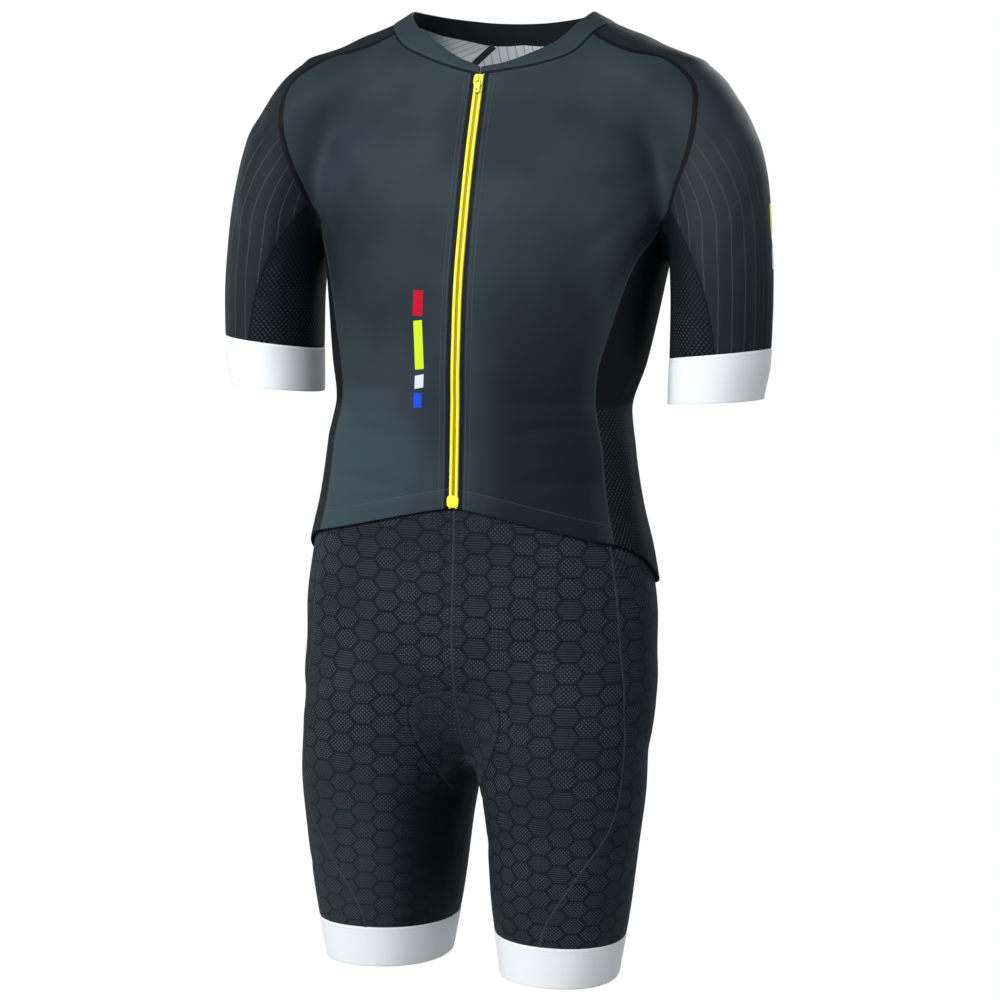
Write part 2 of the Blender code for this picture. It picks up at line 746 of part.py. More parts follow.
def zip_line(side, across):
    """The zip's edge, from the neck to the hem, a row for each row of the front."""
    rows = ROWS_ARMHOLE + ROWS_PIT + ROWS_UPPER + ROWS_LOWER
    drop = np.linspace(NECK_DROP + SEAM_GAP, FRONT_HEM[0][2], rows + 1)
    start = np.stack([np.full_like(drop, side * across), np.full_like(drop, -300), -drop], -1)
    return cast(start, (0, 1, 0), 330)


def build_top(name, side, seams):
    """One side of the top, apart from the back and the neckband."""
    front, back, neck = seams["front"], seams["back"], seams["neck"]
    rows = front_rows(front)
    edge = zip_line(side, FRONT_HEM[0][1])
    edge[0], edge[-1] = neck["zip", "neck"][0], seams["front_hem"][0]
    grid = patch(edge, join(*rows[1:]), join(neck["zip", "neck"], rows[0]), seams["front_hem"])
    wall("front_" + name, grid, "panel_knit", top_lift(grid))

    waist = round_the_side(front["side", "waist"][-1], back["side", "waist"][-1], COLUMNS_SIDE)
    grid = patch(front["side", "waist"], back["side", "waist"], seams["underarm"], waist)
    wall("side_upper_" + name, grid, "side_knit", top_lift(grid))
    grid = patch(front["waist", "hem"], back["waist", "hem"], waist, seams["tail_hem"])
    wall("side_lower_" + name, grid, "mesh_knit", top_lift(grid))

    crown = settle(curve_through(anchors("near", CROWN, side)))
    first = join(rows[0], rows[1], seams["gusset_front"])
    last = join(back["neck", "gusset"], seams["gusset_back"])
    cuff = arm_loop(side, SLEEVE_ARC, 0)
    grid = patch(first, last, neck["neck", "raglan"], cuff, [crown])
    wall("sleeve_" + name, grid, "ribbed_knit")

    armhole = join(front["gusset", "side"], seams["underarm"], back["gusset", "side"][::-1])
    inner_cuff = arm_loop(side, GUSSET_ARC, 0)
    middle = COLUMNS_GUSSET // 2
    guide = np.array([armhole[middle:middle + 2].mean(0), inner_cuff[middle:middle + 2].mean(0)])
    grid = patch(seams["gusset_front"], seams["gusset_back"], armhole, inner_cuff, [guide])
    wall("gusset_" + name, grid, "mesh_knit")

    angles = np.concatenate([SLEEVE_ARC[:-1], GUSSET_ARC[::-1][:-1]])
    grid = np.array([arm_loop(side, angles, lower) for lower in np.linspace(0, 1, ROWS_BAND + 1)])
    wall("sleeve_cuff_" + name, grid, "white_elastic", thickness=BAND_CLOTH, ring=True)


def build_back_and_neck(seams):
    """The back panel and the neckband, which both run from the right side to the left."""
    right, left = seams["right"], seams["left"]
    edges = []
    for side in (right, left):
        back = side["back"]
        corners = ("neck", "gusset", "side", "waist", "hem")
        edges.append(join(*(back[stretch] for stretch in zip(corners, corners[1:]))))
    top = join(right["neck"]["raglan", "back"], left["neck"]["raglan", "back"][::-1])
    hem = join(right["back_hem"], left["back_hem"][::-1])
    heights = np.linspace(top[len(top) // 2][2], hem[len(hem) // 2][2], 40)
    centre = cast([(0, VIEWS["back"][0], z) for z in heights], (0, -1, 0), 330)
    grid = patch(edges[0], edges[1], top, hem, [centre])
    wall("back", grid, "ribbed_knit", top_lift(grid))

    lower, upper = [], []
    counts = (1, COLUMNS_NECK, COLUMNS_SLEEVE, COLUMNS_BACK // 2)
    for name in ("right", "left"):
        neck = seams[name]["neck"]
        lower.append(join(*neck.values()))
        line = curve_through([(SIDES[name] * across, behind, -drop) for _, across, behind, drop in NECK_EDGE])
        corners = [i * 24 for i, row in enumerate(NECK_EDGE) if row[0]]
        parts = [evenly(line[a:b + 1], count) for a, b, count in zip(corners, corners[1:], counts)]
        upper.append(join(*parts))
    lower = join(lower[0], lower[1][::-1])
    upper = join(upper[0], upper[1][::-1])
    grid = np.array([lower + (upper - lower) * share for share in np.linspace(0, 1, ROWS_BAND + 1)])
    wall("neckband", grid, "panel_knit", thickness=BAND_CLOTH)


def build_shorts(name, side, centre_front, centre_back):
    """One leg's two panels and its cuff."""
    seam = anchors("front", SHORTS_SIDE, side)
    front_cuff, back_cuff = (leg_loop(side, arc, LEG_DROP) for arc in (THIGH_FRONT_ARC, THIGH_BACK_ARC))
    seam[-1] = front_cuff[-1]
    parts = stretches(SHORTS_SIDE, seam, (ROWS_HIP, ROWS_SEAT, ROWS_THIGH))
    outer = join(*parts.values())
    crotch = centre_front[-1]
    inseam = np.concatenate([crotch[None], anchors("near", INSEAM, side), front_cuff[:1]])
    inseam = settle(evenly(settle(curve_through(inseam)), ROWS_THIGH))
    inseam[0], inseam[-1] = crotch, front_cuff[0]

    waist = round_the_waist(side, outer[0], "front")
    across = leg_axis(side, LEG_DROP)[0]
    drops = np.linspace(WAIST_OF_SHORTS, LEG_DROP, 40)
    mid_front = cast([(across, VIEWS["front"][0], -drop) for drop in drops], (0, 1, 0), 330)
    grid = patch(join(centre_front, inseam), outer, waist, front_cuff, [mid_front])
    wall("shorts_front_" + name, grid, "hexagon_knit")

    waist = round_the_waist(side, outer[0], "back")
    drops = np.linspace(WAIST_OF_SHORTS, LEG_DROP, 40)
    axis = read(TRUNK_CURVES, drops)[3]
    far = cast(np.stack([np.full_like(drops, side * 300), axis, -drops], -1), (-side, 0, 0), 290)
    rear = cast([(across, VIEWS["back"][0], -drop) for drop in drops], (0, -1, 0), 330)
    grid = patch(outer, join(centre_back, inseam), waist, back_cuff, [far, rear])
    wall("shorts_back_" + name, grid, "hexagon_knit")

    angles = np.concatenate([THIGH_FRONT_ARC[:-1], THIGH_BACK_ARC[:-1]])
    drops = np.linspace(LEG_DROP, LEG_DROP + LEG_CUFF, ROWS_BAND + 1)
    grid = np.array([leg_loop(side, angles, drop) for drop in drops])
    wall("leg_cuff_" + name, grid, "white_elastic", thickness=BAND_CLOTH, ring=True)


def round_the_waist(side, corner, half):
    """The shorts' top edge: in front from the centre to the side seam, behind from that seam to the centre."""
    axis = read(TRUNK_CURVES, WAIST_OF_SHORTS)[3]
    turn_at_seam = np.arctan2(corner[1] - axis, abs(corner[0]))
    columns = COLUMNS_THIGH_FRONT if half == "front" else COLUMNS_THIGH_BACK
    turns = (-np.pi / 2, turn_at_seam) if half == "front" else (turn_at_seam, np.pi / 2)
    turn = np.linspace(*turns, columns * 6 + 1)
    heading = np.stack([side * np.cos(turn), np.sin(turn), np.zeros_like(turn)], -1)
    line = evenly(cast((0, axis, -WAIST_OF_SHORTS), heading, 260), columns)
    line[-1 if half == "front" else 0] = corner
    return line


def build_pad():
    """The seat pad, inside the crotch, from the front to behind. Its widths are walked along the cloth."""
    line = settle([(0, behind, -drop) for behind, drop, _ in PAD], (0,))
    reach = ease(PAD, 2, line[:, 1])[:, None] * 2 / COLUMNS_PAD
    halves = []
    for side in SIDES.values():
        columns = [line]
        heading = np.tile([float(side), 0, 0], (len(line), 1))
        for _ in range(COLUMNS_PAD // 2):
            normal = outward(columns[-1])
            heading = heading - normal * (heading * normal).sum(-1, keepdims=True)
            heading /= np.linalg.norm(heading, axis=-1, keepdims=True)
            columns.append(settle(columns[-1] + heading * reach))
        halves.append(columns)
    grid = np.stack(halves[0][:0:-1] + halves[1], 1)
    wall("pad", grid, "pad_foam", -(PAD_CLEARANCE + PAD_THICKNESS), PAD_THICKNESS)


def build_zip():
    """The zip's two halves, its bottom box, its slider and the slider's tab."""
    for name, side in SIDES.items():
        lines = [zip_line(side, across) for across in (ZIP_MIDDLE, ZIP_HALF)]
        grid = np.stack(lines, 1)
        wall("zip_" + name, grid, "yellow_zip", ZIP_LIFT + top_lift(grid), ZIP_THICKNESS)

    end_drop = FRONT_HEM[0][2] - ZIP_END_HEIGHT / 2 - 1
    seat = ZIP_LIFT + ZIP_THICKNESS + TRIM_GAP
    outline = [rounded_box(ZIP_END_WIDTH, -ZIP_END_HEIGHT / 2, ZIP_END_HEIGHT / 2, 3)]
    at, turn = on_the_zip(end_drop, seat + ZIP_END_THICKNESS / 2)
    place("zip_end", outline_mesh("zip_end", outline, ZIP_END_THICKNESS), "yellow_zip", at, turn)

    at, turn = on_the_zip(SLIDER_DROP, seat)
    outline = rounded_box(SLIDER_WIDTH, -SLIDER_LENGTH / 2, SLIDER_LENGTH / 2, 2.5)
    plate = outline_mesh("slider_plate", [outline], SLIDER_THICKNESS)
    end, gap = BRIDGE_LENGTH / 2, BRIDGE_GAP_LENGTH / 2
    bridge = [
        (-end, -0.3), (-end, BRIDGE_HEIGHT - 0.6), (-end + 0.6, BRIDGE_HEIGHT),
        (end - 0.6, BRIDGE_HEIGHT), (end, BRIDGE_HEIGHT - 0.6), (end, -0.3),
        (gap, -0.3), (gap, BRIDGE_GAP_HEIGHT), (-gap, BRIDGE_GAP_HEIGHT), (-gap, -0.3),
    ]
    arch = outline_mesh("slider_bridge", [bridge[::-1]], BRIDGE_WIDTH)
    slider = place("zip_slider", plate, "yellow_metal", at, turn)
    for vertex in plate.vertices:
        vertex.co.z += SLIDER_THICKNESS / 2 * MM
    for vertex in arch.vertices:
        x, y, z = vertex.co
        vertex.co = (z, x, y + SLIDER_THICKNESS * MM)
    fixed = place("slider_bridge", arch, "yellow_metal", at, turn)
    union = slider.modifiers.new("bridge", "BOOLEAN")
    union.operation = "UNION"
    union.object = fixed
    bpy.context.view_layer.update()
    joined = bpy.data.meshes.new_from_object(slider.evaluated_get(bpy.context.evaluated_depsgraph_get()))
    slider.modifiers.clear()
    slider.data = joined
    bpy.data.objects.remove(fixed)

    axis_height = SLIDER_THICKNESS + BRIDGE_GAP_HEIGHT / 2
    at, turn = on_the_zip(SLIDER_DROP, seat + axis_height)
    window = [(-TAB_WINDOW_WIDTH / 2, -TAB_WINDOW_END), (TAB_WINDOW_WIDTH / 2, -TAB_WINDOW_END),
              (TAB_WINDOW_WIDTH / 2, -TAB_BAR / 2), (-TAB_WINDOW_WIDTH / 2, -TAB_BAR / 2)]
    outlines = [rounded_box(TAB_WIDTH, -TAB_LENGTH, TAB_BAR / 2, 0.6, 3), window[::-1],
                circle(0, -TAB_LENGTH + 2.6, TAB_HOLE_RADIUS)[::-1]]
    place("zip_pull_tab", outline_mesh("zip_pull_tab", outlines, TAB_THICKNESS), "yellow_metal", at, turn)


def on_the_zip(drop, height):
    """A place over the zip, and the turn that lays local X and Y along the cloth and local Z outwards."""
    point = cast((0, VIEWS["front"][0], -drop), (0, 1, 0), 330)
    point[0] = 0
    normal = outward(point)
    lean = np.arctan2(normal[2], -normal[1])
    centre = point + normal * (height + float(top_lift(point)))
    return tuple(centre * MM), (np.pi / 2 - lean, 0, 0)


def main():
    clear_scene()
    suit = bpy.data.collections.new("triathlon_suit")
    bpy.context.scene.collection.children.link(suit)
    seams = {name: seams_of(side) for name, side in SIDES.items()}
    centre_front = anchors("front", CENTRE_FRONT, 1)
    centre_back = anchors("back", CENTRE_BACK, 1)
    table = CENTRE_BACK + (("crotch", 0, 672),)
    centre_back = np.concatenate([centre_back, centre_front[-1:]])
    centre_back = join(*stretches(table, centre_back, (ROWS_HIP, ROWS_SEAT), (0,)).values())
    centre_front = join(*stretches(CENTRE_FRONT, centre_front, (ROWS_HIP, ROWS_SEAT), (0,)).values())
    centre_back[-1] = centre_front[-1]
    for name, side in SIDES.items():
        build_top(name, side, seams[name])
        build_shorts(name, side, centre_front, centre_back)
    build_back_and_neck(seams)
    build_pad()
    build_zip()


main()
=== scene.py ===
"""Looks of the triathlon suit. The cloth is laid in fine grids on nearly the same figure as the CAD pieces.

Unlike the CAD, it has folds, tighter armpits, rounded shoulders and hips, and a neck that hangs lower on
the left. Tables are in millimetres: across from the centre plane, behind towards the back, drop downwards
from the middle of the shoulder line. The front faces -Y, and the wearer's left is +X.
"""

import bpy
import numpy as np
from mathutils import Matrix, Vector


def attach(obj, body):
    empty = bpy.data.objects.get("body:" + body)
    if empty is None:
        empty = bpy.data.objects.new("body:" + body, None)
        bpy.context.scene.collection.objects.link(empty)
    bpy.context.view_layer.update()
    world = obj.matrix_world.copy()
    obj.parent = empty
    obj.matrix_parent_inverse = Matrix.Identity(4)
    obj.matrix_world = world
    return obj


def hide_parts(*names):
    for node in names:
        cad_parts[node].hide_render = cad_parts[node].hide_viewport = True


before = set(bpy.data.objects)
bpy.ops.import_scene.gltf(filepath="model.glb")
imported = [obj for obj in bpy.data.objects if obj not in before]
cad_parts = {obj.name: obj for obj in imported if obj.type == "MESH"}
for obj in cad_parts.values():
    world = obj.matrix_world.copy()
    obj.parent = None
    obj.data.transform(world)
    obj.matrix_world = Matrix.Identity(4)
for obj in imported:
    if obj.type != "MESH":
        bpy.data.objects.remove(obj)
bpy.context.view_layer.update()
MM = 0.001
SIDES = {"right": -1, "left": 1}


def add(name, data):
    """A new object in the scene."""
    thing = bpy.data.objects.new(name, data)
    bpy.context.scene.collection.objects.link(thing)
    return thing


# ---------------------------------------------------------------- camera and studio

TURN, PITCH, ROLL = np.radians((16.5, 5.0, 1.2))
DISTANCE, HEIGHT, ASIDE, LENS = 2.6, -0.196, 0.015, 99.05
ahead = np.array([-np.sin(TURN), np.cos(TURN), 0])
right = np.array([np.cos(TURN), np.sin(TURN), 0])
up = np.array([0, 0, 1.0])
place = -ahead * DISTANCE + up * HEIGHT + right * ASIDE
look = ahead * np.cos(PITCH) - up * np.sin(PITCH)
lift = ahead * np.sin(PITCH) + up * np.cos(PITCH)
across = right * np.cos(ROLL) + lift * np.sin(ROLL)
lift = lift * np.cos(ROLL) - right * np.sin(ROLL)
camera = add("camera", bpy.data.cameras.new("camera"))
turned = np.stack([across, lift, -look], 1)
camera.matrix_world = Matrix([(*row, at) for row, at in zip(turned, place)] + [(0, 0, 0, 1)])
camera.data.lens = LENS
camera.data.sensor_width = 36
bpy.context.scene.camera = camera
bpy.context.scene.view_settings.view_transform = "Standard"


def area_light(name, at, aim, size, watts, colour=(1, 1, 1)):
    data = bpy.data.lights.new(name, "AREA")
    data.shape, data.size, data.energy, data.color = "DISK", size, watts, colour
    thing = add(name, data)
    thing.location = at
    thing.rotation_euler = (Vector(aim) - Vector(at)).to_track_quat("-Z", "Y").to_euler()


area_light("key", (-2.1, -2.3, 0.75), (0, 0, -0.42), 1.3, 62)
area_light("front", (-0.45, -2.7, 1.5), (0, 0, -0.40), 1.3, 80)
area_light("rim_left", (2.5, -0.3, 0.9), (0, 0, -0.3), 1.2, 22)
area_light("rim_right", (-2.4, 0.9, 0.2), (0, 0, -0.3), 1.4, 12)
area_light("back", (0.5, 2.9, 0.9), (0, 0, -0.3), 1.5, 46)
AMBIENT = 0.10


def only_seen(tree, seen, else_):
    """Two shaders, the first for what the camera sees directly."""
    mix = tree.nodes.new("ShaderNodeMixShader")
    tree.links.new(tree.nodes.new("ShaderNodeLightPath").outputs["Is Camera Ray"], mix.inputs[0])
    tree.links.new(else_.outputs[0], mix.inputs[1])
    tree.links.new(seen.outputs[0], mix.inputs[2])
    return mix.outputs[0]


world = bpy.data.worlds.new("studio")
bpy.context.scene.world = world
world.use_nodes = True
backdrops = []
for strength in (1.0, AMBIENT):
    background = world.node_tree.nodes.new("ShaderNodeBackground")
    background.inputs["Color"].default_value = (1, 1, 1, 1)
    background.inputs["Strength"].default_value = strength
    backdrops.append(background)
sky = only_seen(world.node_tree, *backdrops)
world.node_tree.links.new(sky, world.node_tree.nodes["World Output"].inputs["Surface"])

# ---------------------------------------------------------------- the figure, from the CAD's tables

# Trunk: drop, half width, front, back, axis behind, squareness
TRUNK = (
    (-45, 80, 46, 42, 40, 2.0),
    (-32, 91, 52, 48, 39, 2.0),
    (-20, 103, 59, 55, 38, 2.0),
    (0, 122, 69, 71, 38, 2.0),
    (25, 145, 79, 88, 39, 2.0),
    (60, 165, 91, 102, 38, 2.1),
    (100, 173, 102, 111, 35, 2.2),
    (150, 171, 111, 116, 30, 2.3),
    (215, 160.5, 118, 117, 23, 2.3),
    (290, 148.5, 105, 113, 6, 2.3),
    (335, 139, 84, 109, -12, 2.3),
    (370, 142.5, 75, 109, -18, 2.3),
    (420, 150, 78, 117, -15, 2.3),
    (470, 160.5, 81, 130, -12, 2.3),
    (530, 167.5, 85, 144, -9, 2.3),
    (575, 166, 80, 150, -8, 2.3),
    (610, 160.5, 66, 148, -6, 2.2),
    (640, 149, 48, 134, -4, 2.1),
    (662, 131, 28, 108, -2, 2.0),
)
# Shoulder yoke: across, centre drop, axis behind, half height, front, back
YOKE = (
    (0, 20, 42, 42, 54, 52),
    (90, 24, 43, 48, 62, 60),
    (130, 34, 42, 50.5, 64, 67),
    (160, 47, 40, 49.5, 62, 66),
    (185, 60, 37, 48.5, 59, 62),
    (205, 73, 34, 45, 54, 56),
    (225, 94, 31, 41, 45, 48),
)
# Arm: drop, centre across, axis behind, half width, half depth
ARM = (
    (14, 184, 36, 10, 24),
    (30, 188, 34, 24, 39),
    (50, 193, 31, 33, 48),
    (90, 206.5, 27, 43.5, 55),
    (130, 213, 23, 46, 58),
    (180, 218, 19, 46, 58),
    (240, 221, 17, 45.5, 56),
    (285, 220.5, 17.5, 45, 54),
    (320, 217.5, 18, 42.5, 52),
    (345, 216.5, 18, 41.5, 51),
)
# Leg: drop, centre across, axis behind, half width, front, back, lean of the section inwards per unit behind
LEG = (
    (560, 84, -14, 66, 74, 124, 0.0),
    (600, 86, -14, 74, 77, 124, 0.03),
    (640, 86, -13, 79, 79, 120, 0.06),
    (680, 87.2, -11, 78.5, 79, 112, 0.10),
    (740, 88.5, -8, 72, 77, 96, 0.12),
    (800, 88, -6, 66, 73, 85, 0.10),
    (850, 88, -4, 58, 69, 78, 0.08),
    (895, 88, -3, 50.5, 64, 72, 0.05),
)
ARM_POWER = 2.1
LEG_POWER = 2.15
STANCE, STANCE_FROM, STANCE_DROP = 10, 600, 900
BLEND_YOKE, BLEND_LEGS, BLEND_HIP, BLEND_SHOULDER, BLEND_PIT = 24, 14, 30, 28, 10
PIT_FROM, PIT_TO = 110, 200
ROUND_YOKE, ROUND_ARM, ROUND_LEG = 26, 14, 50

NECK_DROP, WAIST_DROP, WAIST_OF_SHORTS = 27, 329, 362
SLEEVE_DROP_OUT, SLEEVE_DROP_IN = 273, 285
SLEEVE_CUFF_OUT, SLEEVE_CUFF_IN = 47, 42
LEG_DROP, LEG_CUFF = 828, 39
HEM_LIFT, HEM_FLARE = 3.4, 1.2

# Seams drawn from the front: corner, across, drop
FRONT_SEAM = (
    ("neck", 97, -14),
    ("", 134, 3),
    ("", 163, 9),
    ("tip", 184, 22),
    ("", 197, 38),
    ("", 200, 62),
    ("", 198, 84),
    ("", 190, 112),
    ("gusset", 177, 146),
    ("side", 164, 166),
    ("", 151, 192),
    ("", 140, 225),
    ("", 131, 260),
    ("", 123, 295),
    ("waist", 121, WAIST_DROP),
    ("", 126, 365),
    ("", 130, 400),
    ("hem", 139, 454),
)
GUSSET_FRONT = (
    ("gusset", 177, 146),
    ("", 196, 177),
    ("", 215, 220),
    ("cuff", 226, 279),
)
FRONT_HEM = (
    ("zip", 4.6, 424),
    ("", 37, 430),
    ("", 72, 438),
    ("", 110, 447),
    ("hem", 139, 454),
)
CENTRE_FRONT = (
    ("waist", 0, WAIST_OF_SHORTS),
    ("", 0, 440),
    ("seat", 0, 540),
    ("", 0, 590),
    ("", 0, 630),
    ("", 0, 658),
    ("crotch", 0, 672),
)
SHORTS_SIDE = (
    ("waist", 124, WAIST_OF_SHORTS),
    ("", 132, 420),
    ("", 141, 472),
    ("seat", 148, 530),
    ("", 154, 596),
    ("crotch", 156, 660),
    ("", 149, 712),
    ("", 127, 752),
    ("", 106, 785),
    ("", 93, 808),
    ("cuff", 88, LEG_DROP),
)
# Seams drawn from behind: corner, across, drop
BACK_SEAM = (
    ("neck", 30, -10),
    ("", 62, 14),
    ("", 100, 48),
    ("", 140, 92),
    ("gusset", 170, 140),
    ("side", 163, 166),
    ("", 151, 195),
    ("", 141, 240),
    ("", 131, 285),
    ("waist", 126, WAIST_DROP),
    ("", 131, 372),
    ("", 139, 420),
    ("hem", 146, 503),
)
GUSSET_BACK = (
    ("gusset", 170, 140),
    ("", 194, 177),
    ("", 213, 220),
    ("cuff", 226, 279),
)
BACK_HEM = (
    ("hem", 146, 503),
    ("", 90, 508),
    ("centre", 0, 511),
)
CENTRE_BACK = (
    ("waist", 0, WAIST_OF_SHORTS),
    ("", 0, 440),
    ("seat", 0, 525),
    ("", 0, 585),
    ("", 0, 630),
    ("", 0, 658),
    ("crotch", 0, 672),
)
# Seams drawn close to the cloth: corner, across, behind, drop. The neck's last column is how much lower the
# left side hangs.
NECK_SEAM = (
    ("centre", 0.4, -40, NECK_DROP, 0),
    ("zip", 4.6, -40, 26, 0),
    ("", 20, -38, 22.5, 1),
    ("", 53, -30, 12, 5),
    ("", 82, -16, 0, 7),
    ("neck", 97, -1, -14, 0),
    ("", 103, 24, -20, 0),
    ("", 98, 50, -20, 0),
    ("", 79, 76, -15, 0),
    ("", 54, 90, -12, 0),
    ("raglan", 30, 95, -10, 0),
    ("back", 0, 98, -9, 0),
)
NECK_EDGE = (
    ("centre", 0.4, -38, 20, 0),
    ("zip", 4.6, -38, 18, 1),
    ("", 20, -35, 12, 4),
    ("", 45, -27, -2, 8),
    ("", 67, -13, -16, 9),
    ("neck", 80, 3, -28, 5),
    ("", 87, 28, -36, 1),
    ("", 83, 50, -36, 0),
    ("", 67, 71, -34, 0),
    ("", 45, 83, -32, 0),
    ("raglan", 25, 88, -30.5, 0),
    ("back", 0, 90, -30, 0),
)
UNDERARM = (
    ("", 165, 2, 184),
    ("", 167, 20, 204),
    ("", 165, 42, 184),
)
CROWN = (
    ("", 108, 45, -22),
    ("", 150, 42, -6),
    ("", 190, 36, 10),
    ("", 224, 32, 40),
    ("", 248, 25, 84),
    ("", 262, 20, 130),
    ("", 268, 18, 200),
    ("", 267, 18, SLEEVE_DROP_OUT),
)
TAIL_HEM = (
    ("", 157, -42, 461),
    ("", 166, -16, 474),
    ("", 168, 14, 488),
    ("", 165, 50, 497),
)
INSEAM = (
    ("", 9, 12, 694),
    ("", 13, 8, 724),
    ("", 17, 4, 772),
)
# Pad: behind and drop along the centre line, half width there
PAD = (
    (-82, 596, 34),
    (-79, 606, 45),
    (-70, 620, 47),
    (-58, 634, 43),
    (-42, 650, 35),
    (-20, 666, 29),
    (8, 673, 28),
    (38, 671, 32),
    (68, 664, 42),
    (96, 650, 54),
    (122, 628, 64),
    (138, 596, 62),
    (144, 568, 44),
)
PAD_CLEARANCE = 3.0
PAD_RELIEF = 1.4

# Folds, the same on both sides but for the last two columns, which scale and shift the right one's:
# start across, behind, drop; bend; end; half width; depth; scale; shift in drop
FOLDS = (
    ((170, -22, 138), (140, -75, 165), (96, -95, 205), 13, 1.3, 0.8, 6),
    ((172, -18, 156), (150, -55, 205), (126, -70, 262), 11, 1.2, 1.15, -7),
    ((182, -28, 108), (150, -62, 112), (112, -74, 128), 14, 0.6, 0.7, 9),
    ((128, -60, 318), (96, -84, 330), (52, -96, 322), 9, 1.0, 1.2, -8),
    ((126, -55, 352), (88, -84, 345), (40, -96, 356), 8, 0.8, 0.8, 7),
    ((132, -55, 400), (90, -86, 392), (48, -94, 404), 9, 0.9, 0.7, 5),
    ((26, -95, 372), (31, -95, 398), (27, -95, 425), 7, 0.8, 1.3, 0),
    ((150, 90, 130), (120, 130, 190), (105, 130, 255), 14, 1.8, 0.8, 8),
    ((90, 140, 60), (70, 148, 110), (78, 146, 165), 16, 1.3, 1.2, -10),
    ((120, 75, 318), (70, 100, 330), (14, 106, 322), 10, 1.4, 0.8, 6),
    ((122, 70, 352), (76, 94, 346), (22, 98, 358), 9, 1.2, 1.1, -5),
    ((110, 84, 392), (64, 104, 384), (18, 110, 396), 9, 0.9, 0.8, 4),
    ((150, 0, 300), (150, -10, 322), (138, -40, 334), 9, 0.9, 1.0, 3),
    ((150, 20, 352), (152, -10, 362), (140, -45, 356), 9, 0.8, 0.9, -4),
    ((186, -28, 150), (205, -38, 190), (216, -40, 246), 9, 1.2, 0.8, 5),
    ((262, -6, 120), (254, -30, 160), (236, -42, 214), 11, 1.1, 1.2, -8),
    ((268, 24, 150), (262, 48, 196), (240, 66, 250), 10, 1.2, 0.9, 7),
    ((182, 60, 150), (200, 72, 190), (214, 74, 240), 9, 1.4, 0.8, 4),
    ((232, 30, 52), (226, 0, 78), (212, -26, 98), 14, 1.0, 1.1, -6),
    ((26, -55, 650), (58, -84, 634), (104, -98, 622), 10, 0.45, 0.8, 5),
    ((30, -20, 678), (52, -62, 668), (96, -90, 656), 10, 0.6, 1.2, -5),
    ((24, 0, 690), (46, -60, 700), (86, -88, 706), 10, 0.7, 0.8, 7),
    ((120, -75, 600), (138, -55, 616), (158, -10, 620), 13, 0.7, 1.1, -8),
    ((140, 60, 640), (90, 112, 668), (34, 100, 672), 14, 2.0, 0.9, 4),
    ((130, 60, 690), (92, 98, 704), (40, 80, 706), 10, 1.5, 1.1, -6),
    ((146, 10, 770), (118, 62, 780), (80, 78, 776), 10, 1.3, 0.8, 5),
    ((140, 0, 806), (112, 56, 800), (66, 68, 810), 8, 1.0, 1.2, -4),
    ((148, -10, 736), (150, -30, 760), (134, -58, 790), 10, 0.8, 0.8, 6),
    ((20, 20, 740), (36, -44, 748), (70, -78, 742), 11, 0.7, 1.1, 5),
)

# Grid counts, each multiplied by FINE for the cloth that shows
FINE = 8
ROWS_LOWER, ROWS_UPPER, ROWS_PIT, ROWS_ARMHOLE, ROWS_SHOULDER = 4, 4, 2, 5, 4
ROWS_GUSSET, ROWS_BAND = 5, 2
ROWS_HIP, ROWS_SEAT, ROWS_THIGH = 4, 9, 5
COLUMNS_NECK, COLUMNS_SIDE, COLUMNS_SLEEVE, COLUMNS_BACK = 3, 6, 10, 10
COLUMNS_THIGH_FRONT, COLUMNS_THIGH_BACK = 6, 11
COLUMNS_PAD = 8
COLUMNS_GUSSET = COLUMNS_SIDE + 2 * ROWS_PIT
RELAX_ROUNDS = 30
CUFF_FRONT_ANGLE = -84


def hermite(s, step, a, b, slope_a, slope_b):
    """A cubic from a to b with these slopes at its ends, where s runs from 0 to 1 over the step."""
    return (
        (2 * s**3 - 3 * s**2 + 1) * a
        + (s**3 - 2 * s**2 + s) * step * slope_a
        + (3 * s**2 - 2 * s**3) * b
        + (s**3 - s**2) * step * slope_b
    )


def ease(table, column, at):
    """A monotone curve through one column of a table, read where its first column equals at."""
    knots = np.array([row[0] for row in table], float)
    values = np.array([row[column] for row in table], float)
    steps = np.diff(knots)
    rates = np.diff(values) / steps
    slopes = np.empty_like(values)
    slopes[0], slopes[-1] = rates[0], rates[-1]
    before, after = rates[:-1], rates[1:]
    turning = before * after <= 0
    product = np.where(turning, 1.0, before * after)
    heavy = 2 * steps[1:] + steps[:-1]
    light = steps[1:] + 2 * steps[:-1]
    weighed = (heavy + light) * product / (heavy * after + light * before + turning)
    slopes[1:-1] = np.where(turning, 0.0, weighed)
    at = np.clip(at, knots[0], knots[-1])
    i = np.clip(np.searchsorted(knots, at, side="right") - 1, 0, len(steps) - 1)
    s = (at - knots[i]) / steps[i]
    return hermite(s, steps[i], values[i], values[i + 1], slopes[i], slopes[i + 1])


def curves_of(table):
    """A table's first column each millimetre, and its other columns there."""
    at = np.arange(table[0][0], table[-1][0] + 1.0)
    return at, [ease(table, column, at) for column in range(1, len(table[0]))]


TRUNK_CURVES, YOKE_CURVES, ARM_CURVES, LEG_CURVES = (curves_of(table) for table in (TRUNK, YOKE, ARM, LEG))


def read(curves, at):
    """Every column where the first one equals at."""
    return [np.interp(at, curves[0], column) for column in curves[1]]


def smooth_step(low, high, at):
    s = np.clip((at - low) / (high - low), 0, 1)
    return s * s * (3 - 2 * s)


def oval(u, v, half_width, front, back, power):
    """How far a point lies outside an oval whose front and back depths differ, measured towards its axis."""
    depth = np.where(v < 0, front, back)
    radius = np.hypot(u, v) + 1e-6
    share = ((np.abs(u) / half_width) ** power + (np.abs(v) / depth) ** power) ** (1 / power) + 1e-9
    return radius * (1 - 1 / share)


